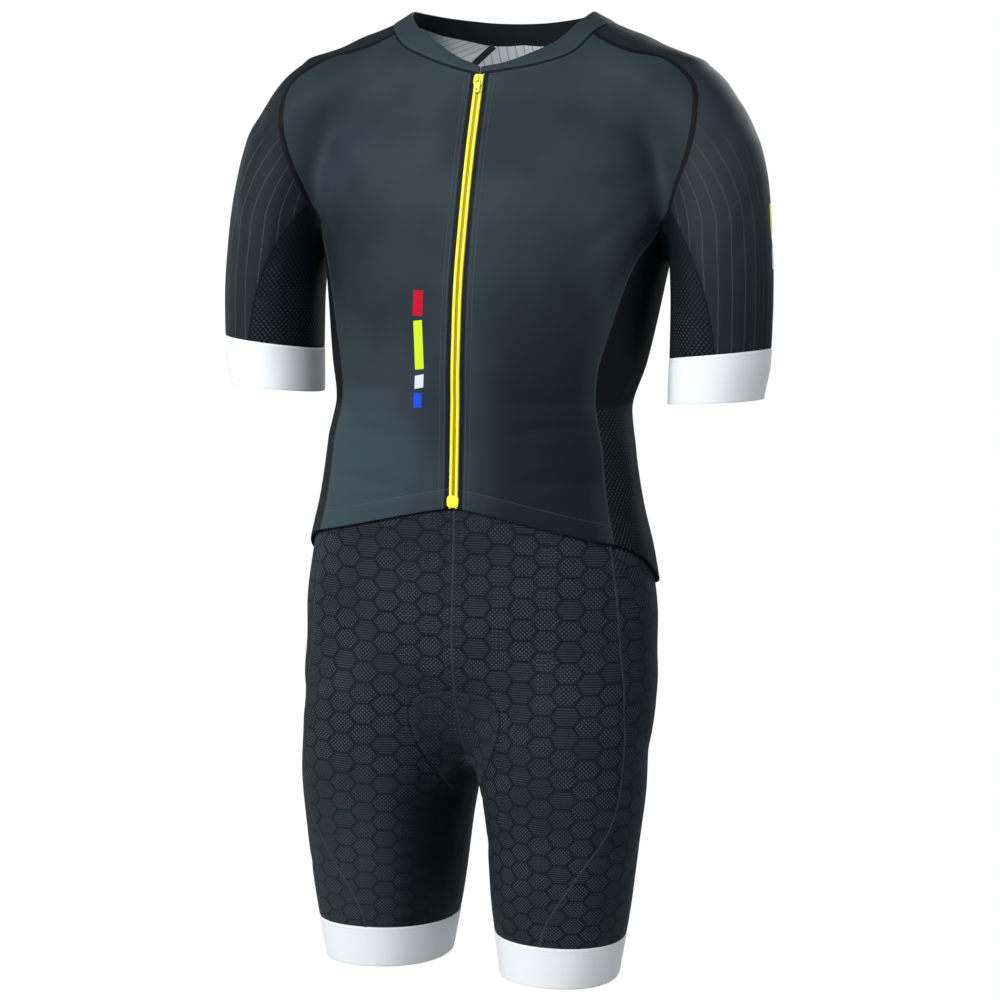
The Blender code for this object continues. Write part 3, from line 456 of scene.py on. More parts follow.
def trunk(p):
    drop = -p[..., 2]
    half_width, front, back, axis, power = read(TRUNK_CURVES, drop)
    outside = oval(p[..., 0], p[..., 1] - axis, half_width, front, back, power)
    return np.maximum(outside, np.maximum(drop - TRUNK[-1][0], TRUNK[0][0] - drop))


def yoke(p):
    across = np.abs(p[..., 0])
    centre, axis, half_height, front, back = read(YOKE_CURVES, across)
    outside = oval(p[..., 2] + centre, p[..., 1] - axis, half_height, front, back, 2.0)
    return cut(outside, across - YOKE[-1][0], ROUND_YOKE)


def arm(p):
    """Both arms, which are alike."""
    drop = -p[..., 2]
    centre, axis, half_width, depth = read(ARM_CURVES, drop)
    outside = oval(np.abs(p[..., 0]) - centre, p[..., 1] - axis, half_width, depth, depth, ARM_POWER)
    return cut(np.maximum(outside, drop - ARM[-1][0]), ARM[0][0] - drop, ROUND_ARM)


def leg_axis(side, drop):
    """Where a leg's axis lies: across, behind."""
    ahead = STANCE * np.clip((drop - STANCE_FROM) / (STANCE_DROP - STANCE_FROM), 0, 1.2)
    centre, axis = read(LEG_CURVES, drop)[:2]
    return side * centre, axis - side * ahead


def leg(p, side):
    drop = -p[..., 2]
    centre, axis = leg_axis(side, drop)
    half_width, front, back, lean = read(LEG_CURVES, drop)[2:]
    v = p[..., 1] - axis
    outside = oval(p[..., 0] - centre + side * lean * v, v, half_width, front, back, LEG_POWER)
    return cut(np.maximum(outside, drop - LEG[-1][0]), LEG[0][0] - drop, ROUND_LEG)


def cut(a, b, radius):
    """The overlap of two shapes, with a rounded edge."""
    return -blend(-a, -b, radius)


def blend(a, b, radius):
    """The union of two shapes with a smooth valley between them."""
    share = np.clip(0.5 + 0.5 * (b - a) / radius, 0, 1)
    return b + (a - b) * share - radius * share * (1 - share)


def figure(p):
    """Outside is positive, in millimetres near the surface."""
    shape = blend(trunk(p), yoke(p), BLEND_YOKE)
    legs = blend(leg(p, 1), leg(p, -1), BLEND_LEGS)
    arms = BLEND_SHOULDER + (BLEND_PIT - BLEND_SHOULDER) * smooth_step(PIT_FROM, PIT_TO, -p[..., 2])
    return blend(blend(shape, legs, BLEND_HIP), arm(p), arms)


def gradient(p):
    reach = 0.5
    parts = [(figure(p + step) - figure(p - step)) / (2 * reach) for step in np.eye(3) * reach]
    return np.stack(parts, -1)


def outward(p):
    g = gradient(p)
    return g / np.linalg.norm(g, axis=-1, keepdims=True)


def settle(p, held=(), rounds=7):
    """Moves points on to the figure along its slope; the axes in held keep their values."""
    p = np.array(p, float)
    for _ in range(rounds):
        g = gradient(p)
        g[..., list(held)] = 0
        move = figure(p)[..., None] * g / np.maximum((g * g).sum(-1, keepdims=True), 0.05)
        size = np.linalg.norm(move, axis=-1, keepdims=True)
        p = p - move * np.minimum(1, 12 / np.maximum(size, 1e-9))
    return p


def cast(start, heading, longest, steps=80):
    """The first place along each heading where the figure's surface is crossed."""
    start, heading = np.broadcast_arrays(np.asarray(start, float), np.asarray(heading, float))
    way = np.linspace(0, longest, steps + 1)
    beyond = figure(start[..., None, :] + heading[..., None, :] * way[:, None]) > 0
    first = np.maximum((beyond != beyond[..., :1]).argmax(-1), 1)
    low, high = way[first - 1], way[first]
    for _ in range(16):
        middle = (low + high) / 2
        same = (figure(start + heading * middle[..., None]) > 0) == beyond[..., 0]
        low, high = np.where(same, middle, low), np.where(same, high, middle)
    return start + heading * ((low + high) / 2)[..., None]


# Where level rays start behind the centre, and their heading; how far they reach
VIEWS = {"front": (-300, 1), "back": (350, -1)}
REACH = 330


def anchors(view, table, side):
    """The rows of a seam table as points on the figure."""
    if view == "near":
        return settle([(side * across, behind, -drop) for _, across, behind, drop in table])
    start, heading = VIEWS[view]
    return cast([(side * across, start, -drop) for _, across, drop in table], (0, heading, 0), REACH)


def hung(table, side):
    """A neck table's rows for one side."""
    return [(*row, drop + (lower if side > 0 else 0)) for *row, drop, lower in table]


PER_SPAN = 24


def curve_through(points, per_span=PER_SPAN):
    """A smooth curve through points, with knots by distance so that uneven rows don't overshoot."""
    p = np.asarray(points, float)
    if len(p) == 2:
        return p[0] + (p[1] - p[0]) * np.linspace(0, 1, per_span + 1)[:, None]
    knots = np.concatenate([[0], np.cumsum(np.sqrt(np.linalg.norm(np.diff(p, axis=0), axis=1)))])
    slope = np.empty_like(p)
    step = np.diff(knots)[:, None]
    rate = np.diff(p, axis=0) / step
    slope[1:-1] = (rate[:-1] * step[1:] + rate[1:] * step[:-1]) / (step[1:] + step[:-1])
    slope[0], slope[-1] = 2 * rate[0] - slope[1], 2 * rate[-1] - slope[-2]
    s = np.linspace(0, 1, per_span + 1)[:-1, None]
    spans = [hermite(s, step[i], p[i], p[i + 1], slope[i], slope[i + 1]) for i in range(len(p) - 1)]
    return np.concatenate(spans + [p[-1:]])


def lengths(line):
    return np.concatenate([[0], np.cumsum(np.linalg.norm(np.diff(line, axis=0), axis=1))])


def evenly(line, count):
    """A line cut into count equal lengths."""
    length = lengths(line)
    at = np.linspace(0, length[-1], count + 1)
    return np.stack([np.interp(at, length, line[:, axis]) for axis in range(3)], -1)


def stretches(table, points, counts, held=()):
    """The seam's stretches between its named corners, each cut into FINE times its count of equal lengths."""
    line = settle(curve_through(points), held)
    corners = [i for i, row in enumerate(table) if row[0]]
    made = {}
    for (first, last), count in zip(zip(corners, corners[1:]), counts):
        part = evenly(line[first * PER_SPAN:last * PER_SPAN + 1], count * FINE)
        made[table[first][0], table[last][0]] = settle(part, held)
    return made


def join(*lines):
    """Lines end to end, without their doubled points."""
    return np.concatenate([lines[0]] + [line[1:] for line in lines[1:]])


# ---------------------------------------------------------------- grids

def between(first, last, guides, columns):
    """Rows that run from a first line to a last one, by way of guide lines."""
    lines = [first] + [evenly(guide, len(first) - 1) for guide in guides] + [last]
    at = np.linspace(0, len(lines) - 1, columns + 1)
    lower = np.clip(at.astype(int), 0, len(lines) - 2)
    share = (at - lower)[:, None, None]
    lines = np.array(lines)
    return np.swapaxes(lines[lower] * (1 - share) + lines[lower + 1] * share, 0, 1)


def finer(grid, times=FINE):
    """The grid with its rows cut into finer ones by a cubic curve through them."""
    ends = [2 * grid[:1] - grid[1:2], grid, 2 * grid[-1:] - grid[-2:-1]]
    g = np.concatenate(ends)
    t = (np.arange(times) / times)[None, :, None, None]
    a, b, c, d = (g[i:len(g) - 3 + i][:, None] for i in range(4))
    made = 0.5 * (2 * b + (c - a) * t + (2 * a - 5 * b + 4 * c - d) * t**2 + (3 * b - a - 3 * c + d) * t**3)
    return np.concatenate([made.reshape(-1, *grid.shape[1:]), grid[-1:]])


def patch(first, last, top, bottom, guides=()):
    """A fine grid on the figure with these four edges: rows run down, columns from first to last."""
    a, b, c, d = (line[::FINE] for line in (first, last, top, bottom))
    grid = between(a, b, guides, len(c) - 1)
    grid[0], grid[-1], grid[:, 0], grid[:, -1] = c, d, a, b
    for _ in range(RELAX_ROUNDS):
        inner = (grid[:-2, 1:-1] + grid[2:, 1:-1] + grid[1:-1, :-2] + grid[1:-1, 2:]) / 4
        grid[1:-1, 1:-1] = settle(inner, rounds=2)
    grid = np.swapaxes(finer(np.swapaxes(finer(grid), 0, 1)), 0, 1)
    v = np.linspace(0, 1, len(grid))[:, None, None]
    u = np.linspace(0, 1, grid.shape[1])[None, :, None]
    grid = grid + (top - grid[0])[None] * (1 - v) + (bottom - grid[-1])[None] * v
    grid = grid + (first - grid[:, 0])[:, None] * (1 - u) + (last - grid[:, -1])[:, None] * u
    grid[1:-1, 1:-1] = settle(grid[1:-1, 1:-1], rounds=3)
    return grid


def fold_lines():
    """The folds of both sides as short runs of points, with their widths and depths."""
    made = []
    for *points, width, depth, scale, shift in FOLDS:
        a, b, c = (np.array([x, y, -z], float) for x, y, z in points)
        t = np.linspace(0, 1, 9)[:, None]
        line = a * (1 - t) ** 2 + 2 * b * t * (1 - t) + c * t**2
        made.append((settle(line), width, depth))
        made.append((settle((line - (0, 0, shift)) * (-1, 1, 1)), width, depth * scale))
    return made


FOLD_LINES = fold_lines()


def folds(p):
    """How far the folds push the cloth out (or in, between them)."""
    total = np.zeros(p.shape[:-1])
    low, high = p.reshape(-1, 3).min(0) - 30, p.reshape(-1, 3).max(0) + 30
    for line, width, depth in FOLD_LINES:
        if (line < low).any(1).all() or (line > high).any(1).all():
            continue
        nearest = np.full(p.shape[:-1], 1e9)
        along = np.zeros(p.shape[:-1])
        for k, (a, b) in enumerate(zip(line, line[1:])):
            way = b - a
            t = np.clip(((p - a) @ way) / (way @ way), 0, 1)
            gap = np.linalg.norm(p - a - t[..., None] * way, axis=-1)
            closer = gap < nearest
            nearest = np.where(closer, gap, nearest)
            along = np.where(closer, (k + t) / (len(line) - 1), along)
        s = (nearest / width) ** 2
        total += depth * np.sin(np.pi * np.clip(along, 0.02, 0.98)) ** 0.8 * (s * 1.1 - 1) * np.exp(-s)
    return total


def top_lift(p):
    """How far the top stands off the figure: it lies over the shorts, and flares at the hem."""
    drop = -p[..., 2]
    return HEM_LIFT * smooth_step(318, 366, drop) + HEM_FLARE * smooth_step(400, 500, drop)


PAD_LINE = settle([(0, behind, -drop) for behind, drop, _ in PAD], (0,))
PAD_LINE = settle(curve_through(PAD_LINE, 6), (0,))
PAD_REACH = ease(PAD, 2, PAD_LINE[:, 1])
PAD_WAY = np.gradient(PAD_LINE, axis=0)
PAD_WAY /= np.linalg.norm(PAD_WAY, axis=-1, keepdims=True)
PAD_LENGTH = lengths(PAD_LINE)


def pad_show(p):
    """How far inside the pad's outline the cloth lies, from 0 (6 mm outside) over 0.5 to 1."""
    flat = p.reshape(-1, 3)
    near = np.abs(flat[:, 0]) < 80
    near &= (flat[:, 2] < -560) & (flat[:, 2] > -730)
    made = np.zeros(len(flat))
    q = flat[near]
    if len(q):
        gap = q[:, None] - PAD_LINE[None]
        k = np.linalg.norm(gap, axis=-1).argmin(1)
        gap = gap[np.arange(len(q)), k]
        along = (gap * PAD_WAY[k]).sum(-1)
        beside = np.linalg.norm(gap - along[:, None] * PAD_WAY[k], axis=-1)
        at = PAD_LENGTH[k] + along
        edges = np.stack([PAD_REACH[k] - beside, at, PAD_LENGTH[-1] - at])
        inside = -11 * np.log(np.exp(-np.clip(edges, -60, 60) / 11).sum(0)) + 2
        made[near] = np.clip(0.5 + inside / 12, 0, 1)
    return made.reshape(p.shape[:-1])


# ---------------------------------------------------------------- looks

class Value:
    """A number in a material's node tree, with arithmetic."""

    def __init__(self, look, socket):
        self.look, self.socket = look, socket

    def do(self, operation, *others):
        return self.look.math(operation, self, *others)

    def __add__(self, other):
        return self.do("ADD", other)

    def __sub__(self, other):
        return self.do("SUBTRACT", other)

    def __mul__(self, other):
        return self.do("MULTIPLY", other)

    def __truediv__(self, other):
        return self.do("DIVIDE", other)

    def within(self, period):
        """The part left over from whole periods, about zero."""
        return self.do("ADD", period / 2).do("FLOORED_MODULO", period) - period / 2

    def size(self):
        return self.do("ABSOLUTE")

    def wave(self, period):
        """A cosine of this period, from -1 to 1."""
        return (self * (2 * np.pi / period)).do("COSINE")

    def rise(self, low, high):
        """0 below low, 1 above high, smooth between; high may be the smaller."""
        made = self.look.node("ShaderNodeMapRange", interpolation_type="SMOOTHSTEP")
        self.look.feed(made.inputs["Value"], self)
        made.inputs["From Min"].default_value = low
        made.inputs["From Max"].default_value = high
        return Value(self.look, made.outputs["Result"])


class Look:
    """A material, whose node tree is built by short calls."""

    def __init__(self, name, roughness, sheen=0.0, sheen_tint=(1, 1, 1), metallic=0.0, specular=0.5):
        self.material = bpy.data.materials.new(name)
        self.material.use_nodes = True
        self.tree = self.material.node_tree
        self.shader = self.tree.nodes["Principled BSDF"]
        self.shader.inputs["Roughness"].default_value = roughness
        self.shader.inputs["Metallic"].default_value = metallic
        self.shader.inputs["Specular IOR Level"].default_value = specular
        self.shader.inputs["Sheen Weight"].default_value = sheen
        self.shader.inputs["Sheen Roughness"].default_value = 0.4
        self.shader.inputs["Sheen Tint"].default_value = (*sheen_tint, 1)

    def feed(self, socket, value):
        if isinstance(value, Value):
            self.tree.links.new(value.socket, socket)
        elif value is not None:
            socket.default_value = value

    def node(self, kind, *inputs, **settings):
        made = self.tree.nodes.new(kind)
        for key, value in settings.items():
            setattr(made, key, value)
        for socket, value in zip(made.inputs, inputs):
            self.feed(socket, value)
        return made

    def math(self, operation, *values):
        return Value(self, self.node("ShaderNodeMath", *values, operation=operation).outputs[0])

    def uv(self, name):
        """The two numbers of a UV map, in millimetres."""
        source = self.node("ShaderNodeUVMap", uv_map=name)
        parts = self.node("ShaderNodeSeparateXYZ", Value(self, source.outputs[0]))
        return Value(self, parts.outputs[0]) * 1000.0, Value(self, parts.outputs[1]) * 1000.0

    def vector(self, *values):
        return Value(self, self.node("ShaderNodeCombineXYZ", *values).outputs[0])

    def place(self):
        """The place in the shared frame, in millimetres."""
        source = Value(self, self.node("ShaderNodeTexCoord").outputs["Object"])
        parts = self.node("ShaderNodeSeparateXYZ", source)
        return [Value(self, part) * 1000.0 for part in parts.outputs]

    def noise(self, scale, detail=2.0):
        """A noise on the place in the shared frame, whose grain is 1 / scale metres."""
        place = Value(self, self.node("ShaderNodeTexCoord").outputs["Object"])
        made = self.node("ShaderNodeTexNoise", place)
        made.inputs["Scale"].default_value = scale
        made.inputs["Detail"].default_value = detail
        return Value(self, made.outputs["Fac"])

    def chance(self, *values):
        """A number from 0 to 1 that is random for each different set of values."""
        return Value(self, self.node("ShaderNodeTexWhiteNoise", self.vector(*values)).outputs["Value"])

    def mix(self, share, first, second):
        made = self.node("ShaderNodeMix", data_type="RGBA")
        self.feed(made.inputs[0], share)
        for socket, colour in ((made.inputs[6], first), (made.inputs[7], second)):
            self.feed(socket, colour if isinstance(colour, Value) else (*colour, 1))
        return Value(self, made.outputs[2])

    def finish(self, colour, height=None):
        """Colour, and a height in millimetres for the bump."""
        self.feed(self.shader.inputs["Base Color"], colour if isinstance(colour, Value) else (*colour, 1))
        if height is not None:
            bump = self.node("ShaderNodeBump")
            bump.inputs["Strength"].default_value = 1.0
            bump.inputs["Distance"].default_value = MM
            self.feed(bump.inputs["Height"], height)
            self.tree.links.new(bump.outputs["Normal"], self.shader.inputs["Normal"])
        return self.material


def knit(u, v, pitch=1.1):
    """Fine courses and wales of a warp knit: a height in millimetres."""
    return (u.wave(pitch) * v.wave(pitch * 1.3) + v.wave(pitch / 1.6) * 0.35) * 0.022


def stitches(d, along, at, pitch=2.6):
    """A row of stitches at a distance from an edge: 1 on the threads."""
    return (d - at).size().rise(0.42, 0.16) * along.wave(pitch).rise(-0.55, 0.1)


SLATE = (0.0215, 0.0355, 0.0435)
# The slate in painted shade, used only for the front panels' painted shade.
SLATE_PAINTED_SHADE = (0.0050, 0.0085, 0.0135)
KNIT_LINE = (0.0025, 0.0040, 0.0062)
ZIP_STITCHES, HEM_STITCHES = (5.6, 9.8), 17.5
KNIT_CELL, HEXAGON_WIDTH, HEXAGON_HEIGHT = 1.3, 21.7, 19.4
PINSTRIPE_PITCH, RIB_PITCH = 8.6, 11.4
SHEEN = {"sheen": 0.02, "sheen_tint": (0.6, 0.85, 1.0), "specular": 0.09}


def scaled(colour, by):
    return tuple(c * by for c in colour)


def panel_knit():
    """Smooth slate knit, with painted shade and painted light in patches. UV hems gives the distance from the
    zip, and from the neck or hem.
    """
    look = Look("panel_knit", 0.60, **SHEEN)
    u, v = look.uv("weave")
    zip_way, hem_way = look.uv("hems")
    colour = look.mix(look.noise(900.0, 1.0) * 0.25, SLATE, scaled(SLATE, 1.5))
    # Soft darker patches at random places: painted mottled shade.
    colour = look.mix(look.noise(11.0).rise(0.62, 0.30) * 0.45, colour, SLATE_PAINTED_SHADE)
    x, y, z = look.place()
    # Painted shade: the front of the left panel darker downwards, a band across the right panel about 215 mm
    # down, and both sides below the armpits.
    colour = look.mix(x.rise(0, 60) * z.rise(-90, -340) * y.rise(-54, -74) * 0.92, colour, SLATE_PAINTED_SHADE)
    colour = look.mix(x.rise(0, -40) * (z + 215.0).size().rise(110, 30) * 0.32, colour, SLATE_PAINTED_SHADE)
    colour = look.mix(x.size().rise(112, 160) * (z + 195.0).size().rise(70, 12) * 0.60, colour, SLATE_PAINTED_SHADE)
    # Painted light: the lower part of the right front panel lighter.
    colour = look.mix(x.rise(-10, -60) * z.rise(-290, -380) * 0.60, colour, scaled(SLATE, 1.8))
    tape = zip_way.rise(4.6, 3.6)
    colour = look.mix(tape * 0.9, colour, (0.004, 0.005, 0.009))
    near, far = ZIP_STITCHES
    seam = stitches(zip_way, v, near) + stitches(zip_way, v, far) + stitches(hem_way, u, HEM_STITCHES)
    colour = look.mix(seam * 0.55, colour, (0.085, 0.105, 0.112))
    groove = (zip_way - near).size().rise(1.2, 0.0) + (zip_way - far).size().rise(1.2, 0.0)
    groove = groove + (hem_way - HEM_STITCHES).size().rise(1.6, 0.0)
    height = knit(u, v) - groove * 0.16 + seam * 0.10
    return look.finish(colour, height)


def band_knit():
    """The neckband: the same slate, a little plainer, with a dark seam at its lower edge."""
    look = Look("neckband_knit", 0.6, **SHEEN)
    u, v = look.uv("weave")
    _, hem_way = look.uv("hems")
    colour = look.mix(look.noise(700.0, 1.0) * 0.25, SLATE, scaled(SLATE, 1.5))
    colour = look.mix(hem_way.rise(1.7, 0.6), colour, (0.004, 0.006, 0.009))
    seam = stitches(hem_way, u, 2.8)
    colour = look.mix(seam * 0.4, colour, (0.08, 0.1, 0.11))
    return look.finish(colour, knit(u, v, 1.0) + seam * 0.08)


def ribbed_knit(name, pale):
    """The knit with thin lines along it, dark outside, pale inside. UV hems gives how far they show."""
    look = Look(name, 0.62, **SHEEN)
    u, v = look.uv("weave")
    _, show = look.uv("hems")
    if pale:
        line = u.within(PINSTRIPE_PITCH).size().rise(0.55, 0.2)
        colour = look.mix(look.noise(60.0) * 0.25, (0.86, 0.95, 0.98), (0.76, 0.85, 0.88))
        colour = look.mix(line * 0.75, colour, (0.10, 0.125, 0.14))
        return look.finish(colour, knit(u, v) - line * 0.08)
    cell = u + look.noise(9.0) * 5.0
    line = cell.within(RIB_PITCH).size().rise(0.80, 0.25) * show.rise(0.0, 1.0)
    fine = u.within(1.275).size().rise(0.45, 0.1)
    base, other = (0.0092, 0.0146, 0.0184), (0.0160, 0.0240, 0.0290)
    band = (cell / RIB_PITCH + 0.5).do("FLOOR")
    colour = look.mix(look.chance(band, 3.0) * 0.7, base, other)
    x, _, z = look.place()
    # Painted light: the top of the left sleeve lighter.
    colour = look.mix(x.rise(165, 215) * z.rise(-260, -90) * 0.65, colour, (0.030, 0.043, 0.050))
    colour = look.mix(fine * 0.25, colour, (0.004, 0.006, 0.008))
    colour = look.mix(line * 0.42, colour, (0.060, 0.080, 0.088))
    height = line * 0.14 - fine * 0.05 + knit(u, v) * 0.6
    return look.finish(colour, height)


def side_knit():
    look = Look("side_knit", 0.66, specular=0.07)
    u, v = look.uv("weave")
    colour = look.mix(look.noise(14.0) * 0.8, (0.0035, 0.0050, 0.0075), (0.0060, 0.0082, 0.0110))
    return look.finish(colour, knit(u, v))


def mesh_knit():
    """Black honeycomb mesh with small pale knots between its openings; high under the arm the knots fade out
    as painted shade.
    """
    look = Look("mesh_knit", 0.64, specular=0.08)
    u, v = look.uv("weave")
    lattice = u.wave(4.8) * v.wave(5.4)
    knot = lattice.rise(0.30, 0.85)
    hole = lattice.rise(-0.35, -0.85)
    patchy = look.noise(22.0).rise(0.30, 0.65) * 0.6 + 0.4
    colour = look.mix(hole, (0.0050, 0.0075, 0.0105), (0.0015, 0.0021, 0.0030))
    # Above 180 to 250 mm down, under the arm, the pale knots and their relief fade out: painted shade.
    knots_below_armpit_shade = look.place()[2].rise(-180, -250)
    colour = look.mix(knot * patchy * knots_below_armpit_shade * 0.75, colour, (0.046, 0.060, 0.068))
    return look.finish(colour, (knot * 0.22 - hole * 0.30) * knots_below_armpit_shade)


def hexagon_knit():
    """Compression knit of flat-topped hexagons, each filled with dots or with fine courses, with painted
    light, shade and highlight in places.
    """
    look = Look("hexagon_knit", 0.62, **SHEEN)
    u, v = look.uv("weave")
    sizes = (u, 0.866 / HEXAGON_WIDTH), (v, 1 / HEXAGON_HEIGHT)
    x, y = ((way / KNIT_CELL).do("FLOOR") * (KNIT_CELL * scale) for way, scale in sizes)
    near, centres = [], []
    for shift in (0.0, 0.5):
        a = (x - shift * 1.732).within(1.732)
        b = (y - shift).within(1.0)
        near.append((b.size() * 0.5 + a.size() * 0.866).do("MAXIMUM", b.size()))
        centres.append((x - a, y - b))
    other = near[0].do("GREATER_THAN", near[1])
    edge = near[0].do("MINIMUM", near[1])
    ids = [first + (second - first) * other for first, second in zip(*centres)]
    kind = look.chance(*ids)
    ragged = edge + look.noise(160.0) * 0.03 + look.noise(430.0) * 0.03
    _, pad = look.uv("hems")
    faded = look.noise(30.0).rise(0.25, 0.6) * 0.5 + 0.5
    line = ragged.rise(0.492, 0.524) * faded * (pad.rise(0.4, 0.8) * -0.4 + 1.0)
    dots = (u.wave(4.0) * v.wave(3.9)).rise(0.25, 0.85)
    courses = v.wave(2.3).rise(0.1, 0.9)
    # Lines at the pad's outline and near the top of its relief, for painted shade and painted highlight.
    rim, pad_painted_highlight = ((pad - at).size().rise(0.15, 0.05) for at in (0.5, 0.72))
    tone = look.noise(16.0)
    dotted = (kind + tone * 0.9).rise(0.62, 0.95)
    fill = dots * dotted + courses * 0.45 * (dotted * -1.0 + 1.0)
    fill = fill * (edge.rise(0.47, 0.40)) * (tone.rise(0.2, 0.75) * 0.6 + 0.5)
    colour = look.mix(kind * 0.5, (0.0072, 0.0108, 0.0160), (0.0112, 0.0160, 0.0225))
    colour = look.mix(fill * 0.75, colour, (0.085, 0.112, 0.135))
    x, y, z = look.place()
    # Painted light: the right leg lighter towards its lower outside.
    colour = look.mix(x.rise(-45, -90) * z.rise(-620, -740) * 0.35, colour, (0.026, 0.042, 0.047))
    # Painted shadow: the inner front of the right thigh, near black, where the other leg shades it.
    inner = x.rise(-72, -40) * x.rise(1, -4) * y.rise(30, 0) * z.rise(-655, -715)
    colour = look.mix(inner * 0.75, colour, (0.002, 0.003, 0.005))
    colour = look.mix(line * 0.70, colour, KNIT_LINE)
    colour = look.mix(pad.rise(0.5, 0.8) * 0.22, colour, (0.026, 0.036, 0.042))
    # On the slope of the pad's relief, a dark line of painted shade, and nearer its top a paler line of
    # painted highlight.
    colour = look.mix(rim * tone.rise(0.2, 0.6) * 0.6, colour, KNIT_LINE)
    colour = look.mix(pad_painted_highlight * tone.rise(0.6, 0.3) * 0.22, colour, (0.050, 0.066, 0.076))
    height = fill * 0.10 - line * 0.20
    return look.finish(colour, height)


def elastic():
    """White grippers, with fine elastic ribs and a stitched join."""
    look = Look("white_elastic", 0.62, sheen=0.15, specular=0.3)
    u, v = look.uv("weave")
    _, hem_way = look.uv("hems")
    ribs = u.wave(2.2) * 0.5 + 0.5
    colour = look.mix(look.noise(10.0) * 0.5, (0.80, 0.86, 0.89), (0.73, 0.80, 0.84))
    colour = look.mix(ribs * 0.08, colour, (0.56, 0.63, 0.68))
    seam = stitches(hem_way, u, 3.4)
    colour = look.mix(seam * 0.35, colour, (0.45, 0.50, 0.54))
    height = ribs * 0.05 + v.wave(1.1) * 0.015 - seam * 0.1
    return look.finish(colour, height)


def plain(name, colour, roughness=0.6, metallic=0.0, specular=0.06):
    return Look(name, roughness, metallic=metallic, specular=specular).finish(colour)


def inside_knit(name, colour):
    look = Look(name, 0.7, sheen=0.1, specular=0.25)
    u, v = look.uv("weave")
    tone = look.mix(look.noise(30.0) * 0.4, colour, scaled(colour, 0.7))
    return look.finish(tone, knit(u, v))


def thread(name, colour, pale):
    """Flat-lock stitching along a ribbon. UV weave runs along it and across it."""
    look = Look(name, 0.65, specular=0.1)
    along, over = look.uv("weave")
    twist = (along + over * 0.55).wave(1.5) * 0.5 + 0.5
    rail = over.size().rise(0.55, 0.95) * over.size().rise(1.75, 1.3)
    colour = look.mix(twist * 0.55, colour, pale)
    return look.finish(colour, twist * 0.10 + rail * 0.06)


def zip_look():
    """Yellow coil: fine ribs across it."""
    look = Look("zip_yellow", 0.5, specular=0.25)
    rib = look.uv("weave")[0].wave(1.25) * 0.5 + 0.5
    colour = look.mix(rib * 0.25, (0.98, 0.88, 0.060), (0.76, 0.62, 0.020))
    return look.finish(colour, rib * 0.16)


LOOKS = {
    "panel": panel_knit(),
    "band": band_knit(),
    "ribbed": ribbed_knit("ribbed_knit", False),
    "pinstripe": ribbed_knit("pinstripe_inside", True),
    "side": side_knit(),
    "mesh": mesh_knit(),
    "hexagon": hexagon_knit(),
    "elastic": elastic(),
    "inside_slate": inside_knit("inside_slate", (0.045, 0.056, 0.062)),
    "inside_black": inside_knit("inside_black", (0.0065, 0.0095, 0.0125)),
    "inside_shorts": inside_knit("inside_shorts", (0.028, 0.034, 0.040)),
    "inside_cuff": inside_knit("inside_cuff", (0.55, 0.60, 0.63)),
    "pad": inside_knit("pad_foam", (0.040, 0.047, 0.054)),
    "seam_dark": thread("seam_dark", (0.0035, 0.0048, 0.0065), (0.0085, 0.0110, 0.0140)),
    "seam_slate": thread("seam_slate", (0.018, 0.026, 0.032), (0.046, 0.062, 0.072)),
    "seam_tape": thread("seam_tape", (0.035, 0.042, 0.048), (0.055, 0.065, 0.072)),
    "zip": zip_look(),
    "metal": plain("yellow_lacquer", (0.78, 0.72, 0.030), 0.38, metallic=0.05, specular=0.5),
    "teeth": plain("zip_teeth", (0.56, 0.44, 0.015), 0.45, specular=0.2),
    "red": plain("bar_red", (0.46, 0.004, 0.021)),
    "lime": plain("bar_lime", (0.53, 0.80, 0.020)),
    "white": plain("bar_white", (0.61, 0.68, 0.86)),
    "blue": plain("bar_blue", (0.013, 0.070, 0.67)),
    "yellow": plain("bar_yellow", (0.92, 0.94, 0.040)),
}

# ---------------------------------------------------------------- cloth

CLOTH, THICKNESS = 1.2, 0.9
EDGE_SHARES = (0.1, 0.25, 0.55)


def edged(grid, ring):
    """The grid with more rows and columns close to its edges."""
    def turn(g):
        first = [g[:1] * (1 - s) + g[1:2] * s for s in EDGE_SHARES]
        last = [g[-2:-1] * s + g[-1:] * (1 - s) for s in EDGE_SHARES[::-1]]
        return np.concatenate([g[:1], *first, g[1:-1], *last, g[-1:]])

    grid = turn(grid)
    return grid if ring else np.swapaxes(turn(np.swapaxes(grid, 0, 1)), 0, 1)


def run(grid, axis):
    """How far each point lies from the first row or column, along the grid."""
    step = np.linalg.norm(np.diff(grid, axis=axis), axis=-1)
    start = np.zeros_like(grid[..., 0].take([0], axis))
    return np.concatenate([start, np.cumsum(step, axis)], axis)


